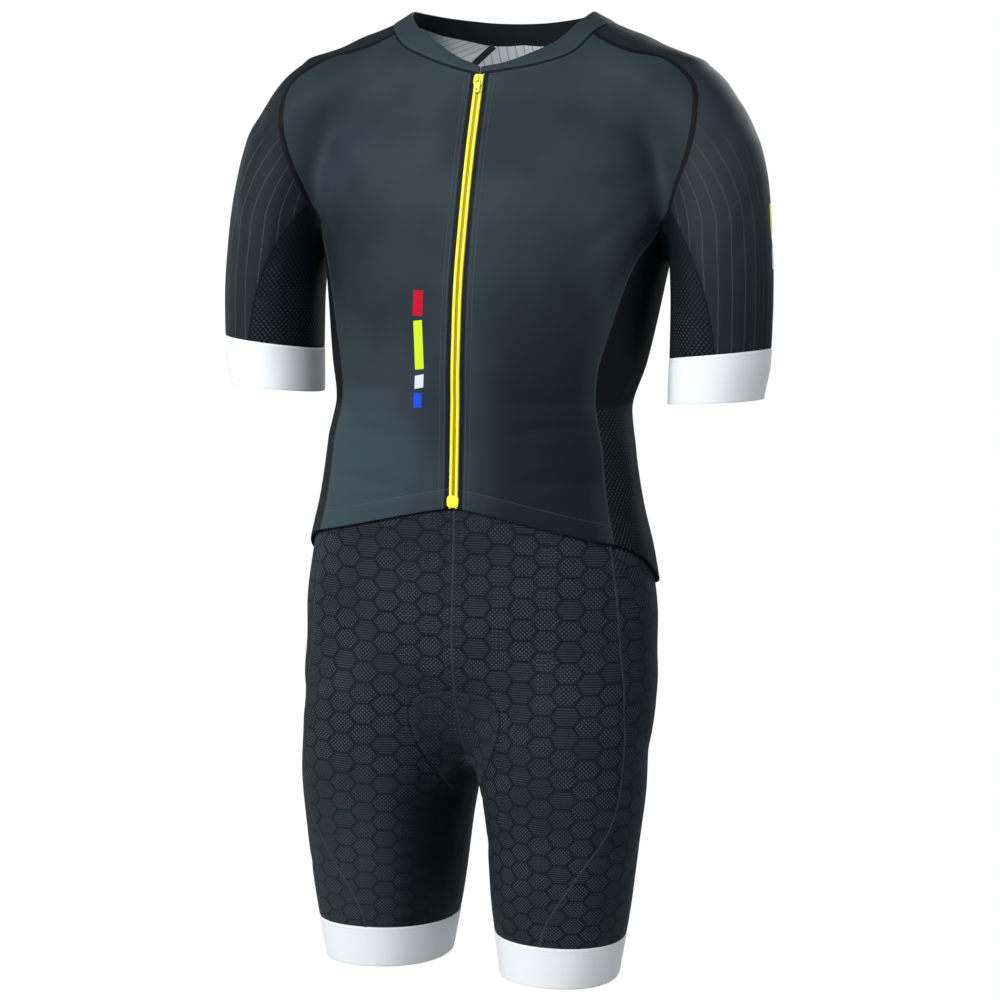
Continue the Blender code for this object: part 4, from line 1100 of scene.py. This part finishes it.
def shell(name, outer, inner, ring, looks, maps, inner_maps=None):
    """A closed wall between two grids. A ring's UV maps have one more column than its grids."""
    rows, columns = outer.shape[:2]
    wide = columns + 1 if ring else columns
    place = np.arange(rows * wide).reshape(rows, wide)
    number = np.arange(rows * columns).reshape(rows, columns)
    if ring:
        number = np.concatenate([number, number[:, :1]], 1)
    count, places = rows * columns, rows * wide

    def cells(of):
        return np.stack([of[:-1, :-1], of[1:, :-1], of[1:, 1:], of[:-1, 1:]], -1).reshape(-1, 4)

    quads, spots = cells(number), cells(place)
    middle = quads[len(quads) // 2]
    corners = outer.reshape(-1, 3)[middle]
    way = np.cross(corners[1] - corners[0], corners[3] - corners[0])
    flip = way @ (outer.reshape(-1, 3)[middle[0]] - inner.reshape(-1, 3)[middle[0]]) < 0
    order = slice(None, None, -1 if flip else 1)
    back = slice(None, None, 1 if flip else -1)

    def rim(of, step):
        runs = [(of[0, 1:], of[0, :-1]), (of[-1, :-1], of[-1, 1:])]
        if not ring:
            runs += [(of[:-1, 0], of[1:, 0]), (of[1:, -1], of[:-1, -1])]
        return np.concatenate([np.stack([two, one, one + step, two + step], -1) for one, two in runs])

    faces = np.concatenate([quads[:, order], quads[:, back] + count, rim(number, count)[:, order]])
    spots = np.concatenate([spots[:, order], spots[:, back] + places, rim(place, places)[:, order]])
    points = np.concatenate([outer.reshape(-1, 3), inner.reshape(-1, 3)]) * MM
    mesh = bpy.data.meshes.new(name)
    mesh.from_pydata(points.tolist(), [], faces.tolist())
    which = np.zeros(len(faces), int)
    which[len(quads):2 * len(quads)] = len(looks) - 1
    mesh.polygons.foreach_set("material_index", which)
    for look in looks:
        mesh.materials.append(LOOKS[look])
    for key, value in maps.items():
        other = (inner_maps or {}).get(key, value)
        both = np.concatenate([value.reshape(-1, 2), other.reshape(-1, 2)]) * MM
        layer = mesh.uv_layers.new(name=key)
        layer.data.foreach_set("uv", both[spots].ravel())
    mesh.shade_smooth()
    mesh.set_sharp_from_angle(angle=np.radians(55))
    return add(name, mesh)


EDGES = {
    "n": lambda way: 0.0 * way,
    "r": lambda way: -0.35 * (1 - smooth_step(0, 1.3, way)),
    "s": lambda way: -0.45 * (1 - smooth_step(0, 1.8, way)),
    "h": lambda way: (0.35 * (1 - smooth_step(14.5, 17, way)) - 0.4 * (1 - smooth_step(0, 1.2, way))
                      - 0.25 * np.exp(-((way - HEM_STITCHES) / 1.3) ** 2)),
}


def cloth(node, grid, looks, edges, ring=False, lift=None, relief=None, base=CLOTH,
          thick=THICKNESS, weave=None, measure=0, show=None):
    """A cut piece, with folds, and its top, bottom, first and last edges each plain, round, sunk or hemmed.

    UV weave is the place on the cloth. UV hems is the distance from the first edge, and either that from the
    top (measure 0) or the bottom (1), or what show gives.
    """
    grid = edged(grid, ring)
    wide = np.concatenate([grid, grid[:, :1]], 1) if ring else grid
    columns = grid.shape[1]
    across, down = run(wide, 1), run(wide, 0)
    ways = [down, down[-1:] - down, across, across[:, -1:] - across]
    out = np.full(wide.shape[:2], float(base)) + folds(wide)
    for more in (lift, relief):
        if more is not None:
            out = out + more(wide)
    bottom = out - thick
    for kind, way in zip(edges, ways[:2] if ring else ways):
        out = out + EDGES[kind](way)
    normal = outward(wide)
    outer, inner = (wide + normal * level[..., None] for level in (out, bottom))
    middle = across[:, across.shape[1] // 2][:, None]
    default = np.stack([across - middle, -wide[..., 2]], -1)
    hems = np.stack([across, ways[measure] if show is None else show(wide)], -1)
    maps = {"weave": default if weave is None else weave(wide), "hems": hems}
    outer, inner = outer[:, :columns], inner[:, :columns]
    piece = shell(node + "_cloth", outer, inner, ring, looks, maps, {"weave": default})
    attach(piece, "suit")
    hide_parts(node)
    a, b = wide[1:, 1:] - wide[:-1, :-1], wide[1:, :-1] - wide[:-1, 1:]
    area = np.linalg.norm(np.cross(a, b), axis=-1).sum() / 2 * MM * MM


def along_line(line):
    """The way of a line at each of its points."""
    way = np.gradient(line, axis=0)
    return way / np.linalg.norm(way, axis=-1, keepdims=True)


def ribbon(line, width, height, level, lift=None, inside=False):
    """A crowned strip over a seam, as an outer and an inner grid, with its UV map."""
    line = evenly(line, max(int(lengths(line)[-1] / 1.6), 4))
    normal = outward(line)
    side = np.cross(along_line(line), normal)
    shares = np.array([-1, -0.8, -0.35, 0, 0.35, 0.8, 1])
    grid = settle(line[:, None] + side[:, None] * (shares * width / 2)[None, :, None], rounds=3)
    out = level + folds(grid) + (0 if lift is None else lift(grid))
    rise = height * (1 - np.abs(shares) ** 3) * (-1 if inside else 1)
    normal = outward(grid)
    top = grid + normal * (out + rise[None])[..., None]
    bottom = grid + normal * (out + (0.25 if inside else -0.25))[..., None]
    along = np.repeat(lengths(line)[:, None], len(shares), 1)
    weave = np.stack([along, np.repeat((shares * width / 2)[None], len(line), 0)], -1)
    return top, bottom, weave


def strip(name, top, bottom, weave, look, slot):
    piece = shell(name, top, bottom, False, [look], {"weave": weave})
    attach(piece, "suit")


def seam(name, line, width, height, look, slot, level=CLOTH - 0.3, lift=None, inside=False):
    strip(name, *ribbon(line, width, height, level, lift, inside), look, slot)


# ---------------------------------------------------------------- the suit

def arc(first, last, count):
    return np.linspace(first, last, count * FINE + 1)


SLEEVE_ARC = arc(CUFF_FRONT_ANGLE, -CUFF_FRONT_ANGLE, COLUMNS_SLEEVE)
GUSSET_ARC = arc(CUFF_FRONT_ANGLE, CUFF_FRONT_ANGLE - 360 + 2 * -CUFF_FRONT_ANGLE, COLUMNS_GUSSET)
THIGH_FRONT_ARC = arc(-180, -90, COLUMNS_THIGH_FRONT)
THIGH_BACK_ARC = arc(-90, 180, COLUMNS_THIGH_BACK)


def rays(centre, axis, drop, turn, side, longest):
    """Where level rays from an axis leave the figure: turn 0 is outwards, -pi / 2 in front."""
    turn = np.asarray(turn, float)
    start = np.stack(np.broadcast_arrays(side * centre, axis, -np.asarray(drop, float), turn)[:3], -1)
    heading = np.stack([side * np.cos(turn), np.sin(turn), np.zeros_like(turn)], -1)
    return cast(start, heading, longest)


def arm_loop(side, angles, lower):
    """Points round a sleeve at its cuff. The loop hangs lower inside."""
    turn = np.radians(np.asarray(angles, float))
    inside = (1 - np.cos(turn)) / 2
    drop = SLEEVE_DROP_OUT + (SLEEVE_DROP_IN - SLEEVE_DROP_OUT) * inside
    drop = drop + lower * (SLEEVE_CUFF_OUT + (SLEEVE_CUFF_IN - SLEEVE_CUFF_OUT) * inside)
    centre, axis = read(ARM_CURVES, drop)[:2]
    return rays(centre, axis, drop, turn, side, 70)


def leg_loop(side, angles, drop):
    """Points round a leg."""
    across, behind = leg_axis(side, drop)
    return rays(side * across, behind, drop, np.radians(np.asarray(angles, float)), side, 130)


def round_the_side(start, end, columns):
    """A level line on the figure from a front seam round to a back seam."""
    axis = read(TRUNK_CURVES, -(start[2] + end[2]) / 2)[3]
    first, last = (np.arctan2(p[1] - axis, abs(p[0])) for p in (start, end))
    turn = np.linspace(first, last, columns * 6 + 1)
    line = rays(0, axis, -np.linspace(start[2], end[2], len(turn)), turn, np.sign(start[0]), 260)
    line[0], line[-1] = start, end
    return evenly(line, columns * FINE)


def round_the_waist(side, corner, half):
    """The shorts' top edge: in front from the centre to the side seam, behind from there to the centre."""
    axis = read(TRUNK_CURVES, WAIST_OF_SHORTS)[3]
    at_seam = np.arctan2(corner[1] - axis, abs(corner[0]))
    columns = COLUMNS_THIGH_FRONT if half == "front" else COLUMNS_THIGH_BACK
    turns = (-np.pi / 2, at_seam) if half == "front" else (at_seam, np.pi / 2)
    turn = np.linspace(*turns, columns * 6 + 1)
    line = evenly(rays(0, axis, np.full_like(turn, WAIST_OF_SHORTS), turn, side, 260), columns * FINE)
    line[-1 if half == "front" else 0] = corner
    return line


def seams_of(side):
    """Every seam of one side, cut to the counts that its pieces share."""
    made = {}
    above = (ROWS_SHOULDER, ROWS_ARMHOLE, ROWS_PIT, ROWS_UPPER, ROWS_LOWER)
    front = made["front"] = stretches(FRONT_SEAM, anchors("front", FRONT_SEAM, side), above)
    back_counts = (ROWS_SHOULDER + ROWS_ARMHOLE, ROWS_PIT, ROWS_UPPER, ROWS_LOWER)
    back = made["back"] = stretches(BACK_SEAM, anchors("back", BACK_SEAM, side), back_counts)
    for name, table, view, apex, angle in (
        ("gusset_front", GUSSET_FRONT, "front", front["tip", "gusset"][-1], CUFF_FRONT_ANGLE),
        ("gusset_back", GUSSET_BACK, "back", back["neck", "gusset"][-1], -CUFF_FRONT_ANGLE),
    ):
        points = anchors(view, table, side)
        points[0], points[-1] = apex, arm_loop(side, [angle], 0)[0]
        made[name] = stretches(table, points, (ROWS_GUSSET,))["gusset", "cuff"]
    neck = anchors("near", hung(NECK_SEAM, side), side)
    corner = [row[0] for row in NECK_SEAM]
    neck[corner.index("neck")] = front["neck", "tip"][0]
    neck[corner.index("raglan")] = back["neck", "gusset"][0]
    made["neck"] = stretches(NECK_SEAM, neck, (1, COLUMNS_NECK, COLUMNS_SLEEVE, COLUMNS_BACK // 2))
    for name, table, ends in (
        ("underarm", UNDERARM, ("gusset", "side")),
        ("tail_hem", TAIL_HEM, ("waist", "hem")),
    ):
        line = np.concatenate([front[ends][-1:], anchors("near", table, side), back[ends][-1:]])
        made[name] = settle(evenly(settle(curve_through(line)), COLUMNS_SIDE * FINE))
    hem = anchors("front", FRONT_HEM, side)
    hem[-1] = front["waist", "hem"][-1]
    made["front_hem"] = stretches(FRONT_HEM, hem, (COLUMNS_NECK + ROWS_SHOULDER,))["zip", "hem"]
    hem = anchors("back", BACK_HEM, side)
    hem[0] = back["waist", "hem"][-1]
    made["back_hem"] = stretches(BACK_HEM, hem, (COLUMNS_BACK // 2,))["hem", "centre"]
    return made


def zip_line(across, rows):
    """A line beside the zip, from the neck to the hem."""
    drop = np.linspace(NECK_DROP + 0.3, FRONT_HEM[0][2], rows + 1)
    start = np.stack([np.full_like(drop, across), np.full_like(drop, VIEWS["front"][0]), -drop], -1)
    return cast(start, (0, 1, 0), REACH)


def round_the_arm(side):
    """The place on a sleeve by the turn round its axis, which leans towards the body above the armpit."""
    def weave(p):
        drop = -p[..., 2]
        centre, axis = read(ARM_CURVES, drop)[:2]
        bend = 75 * np.clip((165 - drop) / 140, 0, 1) ** 1.7
        turn = np.arctan2(p[..., 1] - axis, side * p[..., 0] - centre + bend)
        return np.stack([turn * 50, drop], -1)
    return weave


THIGH_CENTRE = 88


def shrinking(drop):
    """How much more of the pattern a millimetre of cloth holds: its hexagons are smaller towards the cuff."""
    return 1 + 0.25 * smooth_step(620, 850, drop)


DROPS = np.arange(300.0, 900.0)
PATTERN_DROPS = DROPS[0] + np.cumsum(shrinking(DROPS))


def round_the_thigh(side):
    """The place on the front of the shorts by the way round each level section, from before the leg."""
    turn_step, drop_step = 4, 9
    turns, drops = np.arange(-202.0, 31.0, turn_step), np.arange(352.0, 845.0, drop_step)
    behind = leg_axis(side, drops)[1][:, None]
    points = rays(THIGH_CENTRE, behind, drops[:, None], np.radians(turns), side, 300)
    points[..., 0] *= side
    share = THIGH_CENTRE / np.maximum(THIGH_CENTRE - points[..., 0], THIGH_CENTRE)
    points[..., 0] = np.maximum(points[..., 0], 0)
    points[..., 1] = behind + (points[..., 1] - behind) * share
    way = run(points, 1)
    way -= way[:, list(turns).index(-90)][:, None]

    def weave(p):
        drop = -p[..., 2]
        turn = np.degrees(np.arctan2(p[..., 1] - leg_axis(side, drop)[1], side * p[..., 0] - THIGH_CENTRE))
        turn = np.where(turn > 60, turn - 360, turn)
        row = np.clip((drop - drops[0]) / drop_step, 0, len(drops) - 1.01)
        column = np.clip((turn - turns[0]) / turn_step, 0, len(turns) - 1.01)
        i, j = row.astype(int), column.astype(int)
        s, t = row - i, column - j
        near = way[i, j] * (1 - t) + way[i, j + 1] * t
        next_ = way[i + 1, j] * (1 - t) + way[i + 1, j + 1] * t
        out = (near * (1 - s) + next_ * s) * shrinking(drop)
        return np.stack([side * (THIGH_CENTRE + out), np.interp(drop, DROPS, PATTERN_DROPS)], -1)
    return weave


def across_the_seat(p):
    """The place on the back of the shorts by the way along each row, from where it turns to the side."""
    drop = -p[..., 2]
    along = run(p, 1)
    beyond = np.abs(p[..., 0]) > THIGH_CENTRE
    changes = beyond[:, 1:] != beyond[:, :-1]
    at = changes.shape[1] - 1 - changes[:, ::-1].argmax(1)
    at = np.where(changes.any(1), at, 0)
    origin = along[np.arange(len(p)), at]
    smooth = np.polynomial.Polynomial.fit(drop[:, 0], origin, 5)(drop[:, 0])
    u = (along - smooth[:, None]) * shrinking(drop)
    return np.stack([u, np.interp(drop, DROPS, PATTERN_DROPS)], -1)


def build_top(name, side, seams):
    """One side of the top, apart from the back and the neckband."""
    front, back, neck = seams["front"], seams["back"], seams["neck"]
    rows = list(front.values())
    edge = zip_line(side * FRONT_HEM[0][1], (ROWS_ARMHOLE + ROWS_PIT + ROWS_UPPER + ROWS_LOWER) * FINE)
    edge[0], edge[-1] = neck["zip", "neck"][0], seams["front_hem"][0]
    grid = patch(edge, join(*rows[1:]), join(neck["zip", "neck"], rows[0]), seams["front_hem"])
    cloth("front_" + name, grid, ["panel", "inside_slate"], "shns",
          lift=top_lift, measure=1)

    waist = round_the_side(front["side", "waist"][-1], back["side", "waist"][-1], COLUMNS_SIDE)
    grid = patch(front["side", "waist"], back["side", "waist"], seams["underarm"], waist)
    cloth("side_upper_" + name, grid, ["side", "inside_black"],
          "ssss", lift=top_lift)
    grid = patch(front["waist", "hem"], back["waist", "hem"], waist, seams["tail_hem"])
    cloth("side_lower_" + name, grid, ["mesh", "inside_black"],
          "srss", lift=top_lift)

    crown = settle(curve_through(anchors("near", CROWN, side)))
    first = join(rows[0], rows[1], seams["gusset_front"])
    last = join(back["neck", "gusset"], seams["gusset_back"])
    cuff = arm_loop(side, SLEEVE_ARC, 0)
    grid = patch(first, last, neck["neck", "raglan"], cuff, [crown])
    cloth("sleeve_" + name, grid, ["ribbed", "pinstripe"],
          "ssss", weave=round_the_arm(side),
          show=lambda p: smooth_step(45, 130, -p[..., 2]))

    armhole = join(front["gusset", "side"], seams["underarm"], back["gusset", "side"][::-1])
    inner_cuff = arm_loop(side, GUSSET_ARC, 0)
    middle = COLUMNS_GUSSET // 2 * FINE
    guide = np.array([armhole[middle], inner_cuff[middle]])
    grid = patch(seams["gusset_front"], seams["gusset_back"], armhole, inner_cuff, [guide])
    cloth("gusset_" + name, grid, ["mesh", "inside_black"], "ssss")

    angles = np.concatenate([SLEEVE_ARC[:-1], GUSSET_ARC[::-1][:-1]])
    grid = np.array([arm_loop(side, angles, lower) for lower in np.linspace(0, 1, ROWS_BAND * FINE + 1)])
    cloth("sleeve_cuff_" + name, grid, ["elastic", "inside_cuff"], "rr",
          ring=True, base=1.6, thick=1.3)

    raglan = join(back["neck", "gusset"], back["gusset", "side"])
    behind = join(back["side", "waist"], back["waist", "hem"])
    for start, line, width, height, look, slot, lift in (
        ("armhole", join(rows[0], rows[1], rows[2]), 6.4, 0.6, "seam_dark", "panel_knit", top_lift),
        ("raglan", raglan, 4.0, 0.5, "seam_dark", "ribbed_knit", top_lift),
        ("front_side", join(rows[3], rows[4]), 2.2, 0.5, "seam_slate", "panel_knit", top_lift),
        ("back_side", behind, 2.2, 0.5, "seam_dark", "ribbed_knit", top_lift),
        ("gusset_front", seams["gusset_front"], 2.0, 0.45, "seam_dark", "mesh_knit", None),
        ("gusset_back", seams["gusset_back"], 2.0, 0.45, "seam_dark", "mesh_knit", None),
        ("underarm", seams["underarm"], 2.0, 0.4, "seam_dark", "mesh_knit", top_lift),
        ("waist", waist, 2.0, 0.4, "seam_dark", "mesh_knit", top_lift),
    ):
        seam(start + "_seam_" + name, line, width, height, look, slot, lift=lift)
    seam("raglan_tape_" + name, back["neck", "gusset"], 7.5, 0.35, "seam_tape", "ribbed_knit",
         level=CLOTH - THICKNESS + 0.1, lift=top_lift, inside=True)


def neck_lines(seams):
    """The neckband's lower and upper edges, from the centre front round the right side and back to it."""
    lower, upper = [], []
    counts = (1, COLUMNS_NECK, COLUMNS_SLEEVE, COLUMNS_BACK // 2)
    for name, side in SIDES.items():
        lower.append(join(*seams[name]["neck"].values()))
        points = [(side * across, behind, -drop) for _, across, behind, drop in hung(NECK_EDGE, side)]
        line = curve_through(points)
        corners = [i * PER_SPAN for i, row in enumerate(NECK_EDGE) if row[0]]
        parts = [evenly(line[a:b + 1], count * FINE) for a, b, count in zip(corners, corners[1:], counts)]
        upper.append(join(*parts))
    return [join(line[0], line[1][::-1]) for line in (lower, upper)]


def build_back_and_neck(seams):
    """The back panel and the neckband, which both run from the right side to the left."""
    edges = [join(*side["back"].values()) for side in seams.values()]
    top = join(*(line if i == 0 else line[::-1] for i, line in
                 enumerate(side["neck"]["raglan", "back"] for side in seams.values())))
    hem = join(seams["right"]["back_hem"], seams["left"]["back_hem"][::-1])
    levels = np.linspace(top[len(top) // 2][2], hem[len(hem) // 2][2], 40)
    centre = cast([(0, VIEWS["back"][0], z) for z in levels], (0, -1, 0), REACH)
    grid = patch(edges[0], edges[1], top, hem, [centre])
    cloth("back", grid, ["ribbed", "pinstripe"],
          "shss", lift=top_lift,
          show=lambda p: np.ones(p.shape[:2]))

    lower, upper = neck_lines(seams)
    grid = np.array([lower + (upper - lower) * share for share in np.linspace(0, 1, ROWS_BAND * FINE + 1)])
    cloth("neckband", grid, ["band", "inside_black"],
          "rrrr", base=1.8, thick=1.4)
    seam("neck_seam", lower[FINE:-FINE], 2.4, 0.45, "seam_dark", "panel_knit")


def emboss(p):
    """How far the pad pushes the shorts out."""
    return PAD_RELIEF * smooth_step(0.1, 0.8, pad_show(p))


def build_shorts(name, side, centre_front, centre_back):
    """One leg's two panels and its cuff."""
    line = anchors("front", SHORTS_SIDE, side)
    front_cuff, back_cuff = (leg_loop(side, turns, LEG_DROP) for turns in (THIGH_FRONT_ARC, THIGH_BACK_ARC))
    line[-1] = front_cuff[-1]
    outer = join(*stretches(SHORTS_SIDE, line, (ROWS_HIP, ROWS_SEAT, ROWS_THIGH)).values())
    crotch = centre_front[-1]
    inseam = np.concatenate([crotch[None], anchors("near", INSEAM, side), front_cuff[:1]])
    inseam = settle(evenly(settle(curve_through(inseam)), ROWS_THIGH * FINE))
    inseam[0], inseam[-1] = crotch, front_cuff[0]

    waist = round_the_waist(side, outer[0], "front")
    across = leg_axis(side, LEG_DROP)[0]
    drops = np.linspace(WAIST_OF_SHORTS, LEG_DROP, 40)
    ahead = cast([(across, VIEWS["front"][0], -drop) for drop in drops], (0, 1, 0), REACH)
    grid = patch(join(centre_front, inseam), outer, waist, front_cuff, [ahead])
    cloth("shorts_front_" + name, grid, ["hexagon", "inside_shorts"],
          "rsss", relief=emboss, weave=round_the_thigh(side), show=pad_show)

    waist = round_the_waist(side, outer[0], "back")
    axis = read(TRUNK_CURVES, drops)[3]
    far = cast(np.stack([np.full_like(drops, side * 300), axis, -drops], -1), (-side, 0, 0), 290)
    rear = cast([(across, VIEWS["back"][0], -drop) for drop in drops], (0, -1, 0), REACH)
    grid = patch(outer, join(centre_back, inseam), waist, back_cuff, [far, rear])
    cloth("shorts_back_" + name, grid, ["hexagon", "inside_shorts"],
          "rsss", relief=emboss, weave=across_the_seat, show=pad_show)

    angles = np.concatenate([THIGH_FRONT_ARC[:-1], THIGH_BACK_ARC[:-1]])
    drops = np.linspace(LEG_DROP, LEG_DROP + LEG_CUFF, ROWS_BAND * FINE + 1)
    grid = np.array([leg_loop(side, angles, drop) for drop in drops])
    cloth("leg_cuff_" + name, grid, ["elastic", "inside_cuff"],
          "rr", ring=True, base=1.6, thick=1.3)
    seam("shorts_side_seam_" + name, outer, 2.6, 0.6, "seam_slate", "hexagon_knit", lift=emboss)
    seam("inseam_" + name, inseam, 2.4, 0.5, "seam_slate", "hexagon_knit", lift=emboss)


def build_pad():
    """The seat pad, inside the crotch, from the front to behind. Its widths are walked along the cloth."""
    columns = COLUMNS_PAD * 3
    reach = PAD_REACH[:, None] * 2 / columns
    halves = []
    for side in SIDES.values():
        made = [PAD_LINE]
        heading = np.tile([float(side), 0, 0], (len(PAD_LINE), 1))
        for _ in range(columns // 2):
            normal = outward(made[-1])
            heading = heading - normal * (heading * normal).sum(-1, keepdims=True)
            heading /= np.linalg.norm(heading, axis=-1, keepdims=True)
            made.append(settle(made[-1] + heading * reach, rounds=3))
        halves.append(made)
    grid = np.stack(halves[0][:0:-1] + halves[1], 1)
    across, down = run(grid, 1), run(grid, 0)
    edge = np.minimum(np.minimum(across, across[:, -1:] - across), np.minimum(down, down[-1:] - down))
    crown = smooth_step(0, 9, edge)
    channel = 0.8 * np.exp(-((edge - 16) / 2.2) ** 2) + 0.9 * np.exp(-(grid[..., 0] / 2.5) ** 2) * (edge > 12)
    normal = outward(grid)
    outer = grid + normal * (-PAD_CLEARANCE - 0.3 * (1 - crown))[..., None]
    inner = grid + normal * (-PAD_CLEARANCE - 0.9 - 2.2 * crown + channel)[..., None]
    maps = {"weave": np.stack([across, down], -1)}
    piece = shell("pad_foam_piece", outer, inner, False, ["pad"], maps)
    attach(piece, "suit")
    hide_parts("pad")


def build_zip():
    """The zip's coils with their teeth, its bottom box, its slider and the slider's tab."""
    middle = zip_line(0.0, 400)
    length = lengths(middle)
    for name, side in SIDES.items():
        across = np.array([1.25, 1.5, 2.2, 3.0, 3.8, 4.3])
        height = np.array([1.1, 1.7, 2.05, 2.1, 1.75, 0.9])
        grid = np.stack([zip_line(side * x, 330) for x in across], 1)
        normal = outward(grid)
        level = top_lift(grid) + folds(grid)
        top = grid + normal * (level + height)[..., None]
        bottom = grid + normal * (level - 0.3)[..., None]
        weave = np.stack([run(grid, 0), np.broadcast_to(across - 2.8, level.shape)], -1)
        coil = shell("zip_strip_" + name, top, bottom, False, ["zip"], {"weave": weave})
        at = np.arange(1.5 + (0 if side > 0 else 1.3), length[-1] - 1, 2.6)
        spot = np.stack([np.interp(at, length, middle[:, axis]) for axis in range(3)], -1)
        normal = outward(spot)
        level = (top_lift(spot) + folds(spot))[:, None]
        way = np.cross(normal, (1.0, 0, 0))
        way /= np.linalg.norm(way, axis=-1, keepdims=True)
        block = []
        for x in (1.6, -0.45):
            for z in (-0.2, 1.15 if x > 0 else 0.95):
                for y in (-0.5, 0.5):
                    size = 0.8 if z > 0 else 1.0
                    beside = spot + np.array([side * x, 0, 0])
                    block.append(beside + way * y * size * 1.05 + normal * (level + z))
        points = np.stack(block, 1).reshape(-1, 3) * MM
        box = np.array([(0, 1, 3, 2), (4, 6, 7, 5), (0, 4, 5, 1), (2, 3, 7, 6), (0, 2, 6, 4), (1, 5, 7, 3)])
        faces = (box[None] + 8 * np.arange(len(at))[:, None, None]).reshape(-1, 4)
        if side < 0:
            faces = faces[:, ::-1]
        mesh = bpy.data.meshes.new("zip_teeth_" + name)
        mesh.from_pydata(points.tolist(), [], faces.tolist())
        mesh.materials.append(LOOKS["teeth"])
        mesh.update()
        teeth = add("zip_teeth_" + name, mesh)
        for piece in (coil, teeth):
            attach(piece, "suit")
        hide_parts("zip_" + name)
    for node, look, slot, body in (
        ("zip_end", "zip", "yellow_zip", "suit"),
        ("zip_slider", "metal", "yellow_metal", "suit"),
        ("zip_pull_tab", "metal", "yellow_metal", "pull_tab"),
    ):
        bevelled(node, look, body)


def bevelled(node, look, body):
    """A copy of a hard CAD piece with its edges eased."""
    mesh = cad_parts[node].data.copy()
    mesh.materials.clear()
    mesh.materials.append(LOOKS[look])
    piece = add(node + "_finished", mesh)
    weld = piece.modifiers.new("weld", "WELD")
    weld.merge_threshold = 0.00001
    ease_edges = piece.modifiers.new("bevel", "BEVEL")
    ease_edges.width, ease_edges.segments, ease_edges.angle_limit = 0.00025, 3, np.radians(35)
    bpy.context.view_layer.update()
    made = bpy.data.meshes.new_from_object(piece.evaluated_get(bpy.context.evaluated_depsgraph_get()))
    piece.modifiers.clear()
    piece.data = made
    made.shade_smooth()
    made.set_sharp_from_angle(angle=np.radians(40))
    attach(piece, body)
    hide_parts(node)


# Bars on the right front: look, from and to across, from and to drop, lean at the foot, rise of the ends
BARS = (
    ("red", -42.5, -32.9, 225.8, 249, 0, 0),
    ("lime", -41.7, -33.2, 253.8, 298.1, 3.1, 1.0),
    ("white", -38.8, -30.2, 303.8, 315.8, -0.5, 1.8),
    ("blue", -40.2, -32.4, 319.4, 332.8, 0, 0),
)
# Bars on the left sleeve: look, from and to the turn round the arm in degrees, from and to drop
SLEEVE_BARS = (
    ("yellow", 2, 24, 140, 172),
    ("white", 3, 23, 180, 200),
)


def bar(name, look, grid, lift, slot):
    normal = outward(grid)
    level = CLOTH + folds(grid) + (lift(grid) if lift is not None else 0)
    top = grid + normal * (level + 0.10)[..., None]
    bottom = grid + normal * (level - 0.30)[..., None]
    strip(name, top, bottom, np.stack([run(grid, 1), run(grid, 0)], -1), look, slot)


def build_bars():
    """Printed bars, as films on the cloth."""
    for look, low, high, upper, lower, lean, rise in BARS:
        across, down = np.meshgrid(np.linspace(0, 1, 6), np.linspace(0, 1, 14))
        x = low + (high - low) * across + lean * down
        drop = upper + (lower - upper) * down - rise * across
        start = np.stack([x, np.full_like(x, VIEWS["front"][0]), -drop], -1)
        bar("bar_" + look, look, cast(start, (0, 1, 0), REACH), top_lift, "panel_knit")
    for look, low, high, upper, lower in SLEEVE_BARS:
        rows = []
        for drop in np.linspace(upper, lower, 12):
            turn = np.radians(np.linspace(low, high, 8))
            centre, axis = read(ARM_CURVES, np.full_like(turn, drop))[:2]
            rows.append(rays(centre, axis, np.full_like(turn, drop), turn, 1, 90))
        bar("sleeve_bar_" + look, look, np.array(rows), None, "ribbed_knit")


def build():
    seams = {name: seams_of(side) for name, side in SIDES.items()}
    centre_front = anchors("front", CENTRE_FRONT, 1)
    centre_back = anchors("back", CENTRE_BACK, 1)
    centre_back[-1] = centre_front[-1]
    centre_back = join(*stretches(CENTRE_BACK, centre_back, (ROWS_HIP, ROWS_SEAT), (0,)).values())
    centre_front = join(*stretches(CENTRE_FRONT, centre_front, (ROWS_HIP, ROWS_SEAT), (0,)).values())
    centre_back[-1] = centre_front[-1]
    for name, side in SIDES.items():
        build_top(name, side, seams[name])
        build_shorts(name, side, centre_front, centre_back)
    build_back_and_neck(seams)
    seam("centre_front_seam", centre_front, 2.8, 0.7, "seam_slate", "hexagon_knit", lift=emboss)
    seam("centre_back_seam", centre_back, 2.8, 0.7, "seam_slate", "hexagon_knit", lift=emboss)
    build_pad()
    build_zip()
    build_bars()


build()

# ---------------------------------------------------------------- floor

floor_look = bpy.data.materials.new("pale_floor")
floor_look.use_nodes = True
pale = floor_look.node_tree.nodes["Principled BSDF"]
pale.inputs["Base Color"].default_value = (0.5, 0.5, 0.5, 1)
lit = floor_look.node_tree.nodes.new("ShaderNodeEmission")
floor_look.node_tree.links.new(only_seen(floor_look.node_tree, lit, pale),
                               floor_look.node_tree.nodes["Material Output"].inputs["Surface"])
floor_mesh = bpy.data.meshes.new("floor")
floor_mesh.from_pydata([(x, y, -1.32) for x, y in ((-6, -6), (6, -6), (6, 6), (-6, 6))], [], [(0, 1, 2, 3)])
floor_mesh.materials.append(floor_look)
floor = add("floor", floor_mesh)
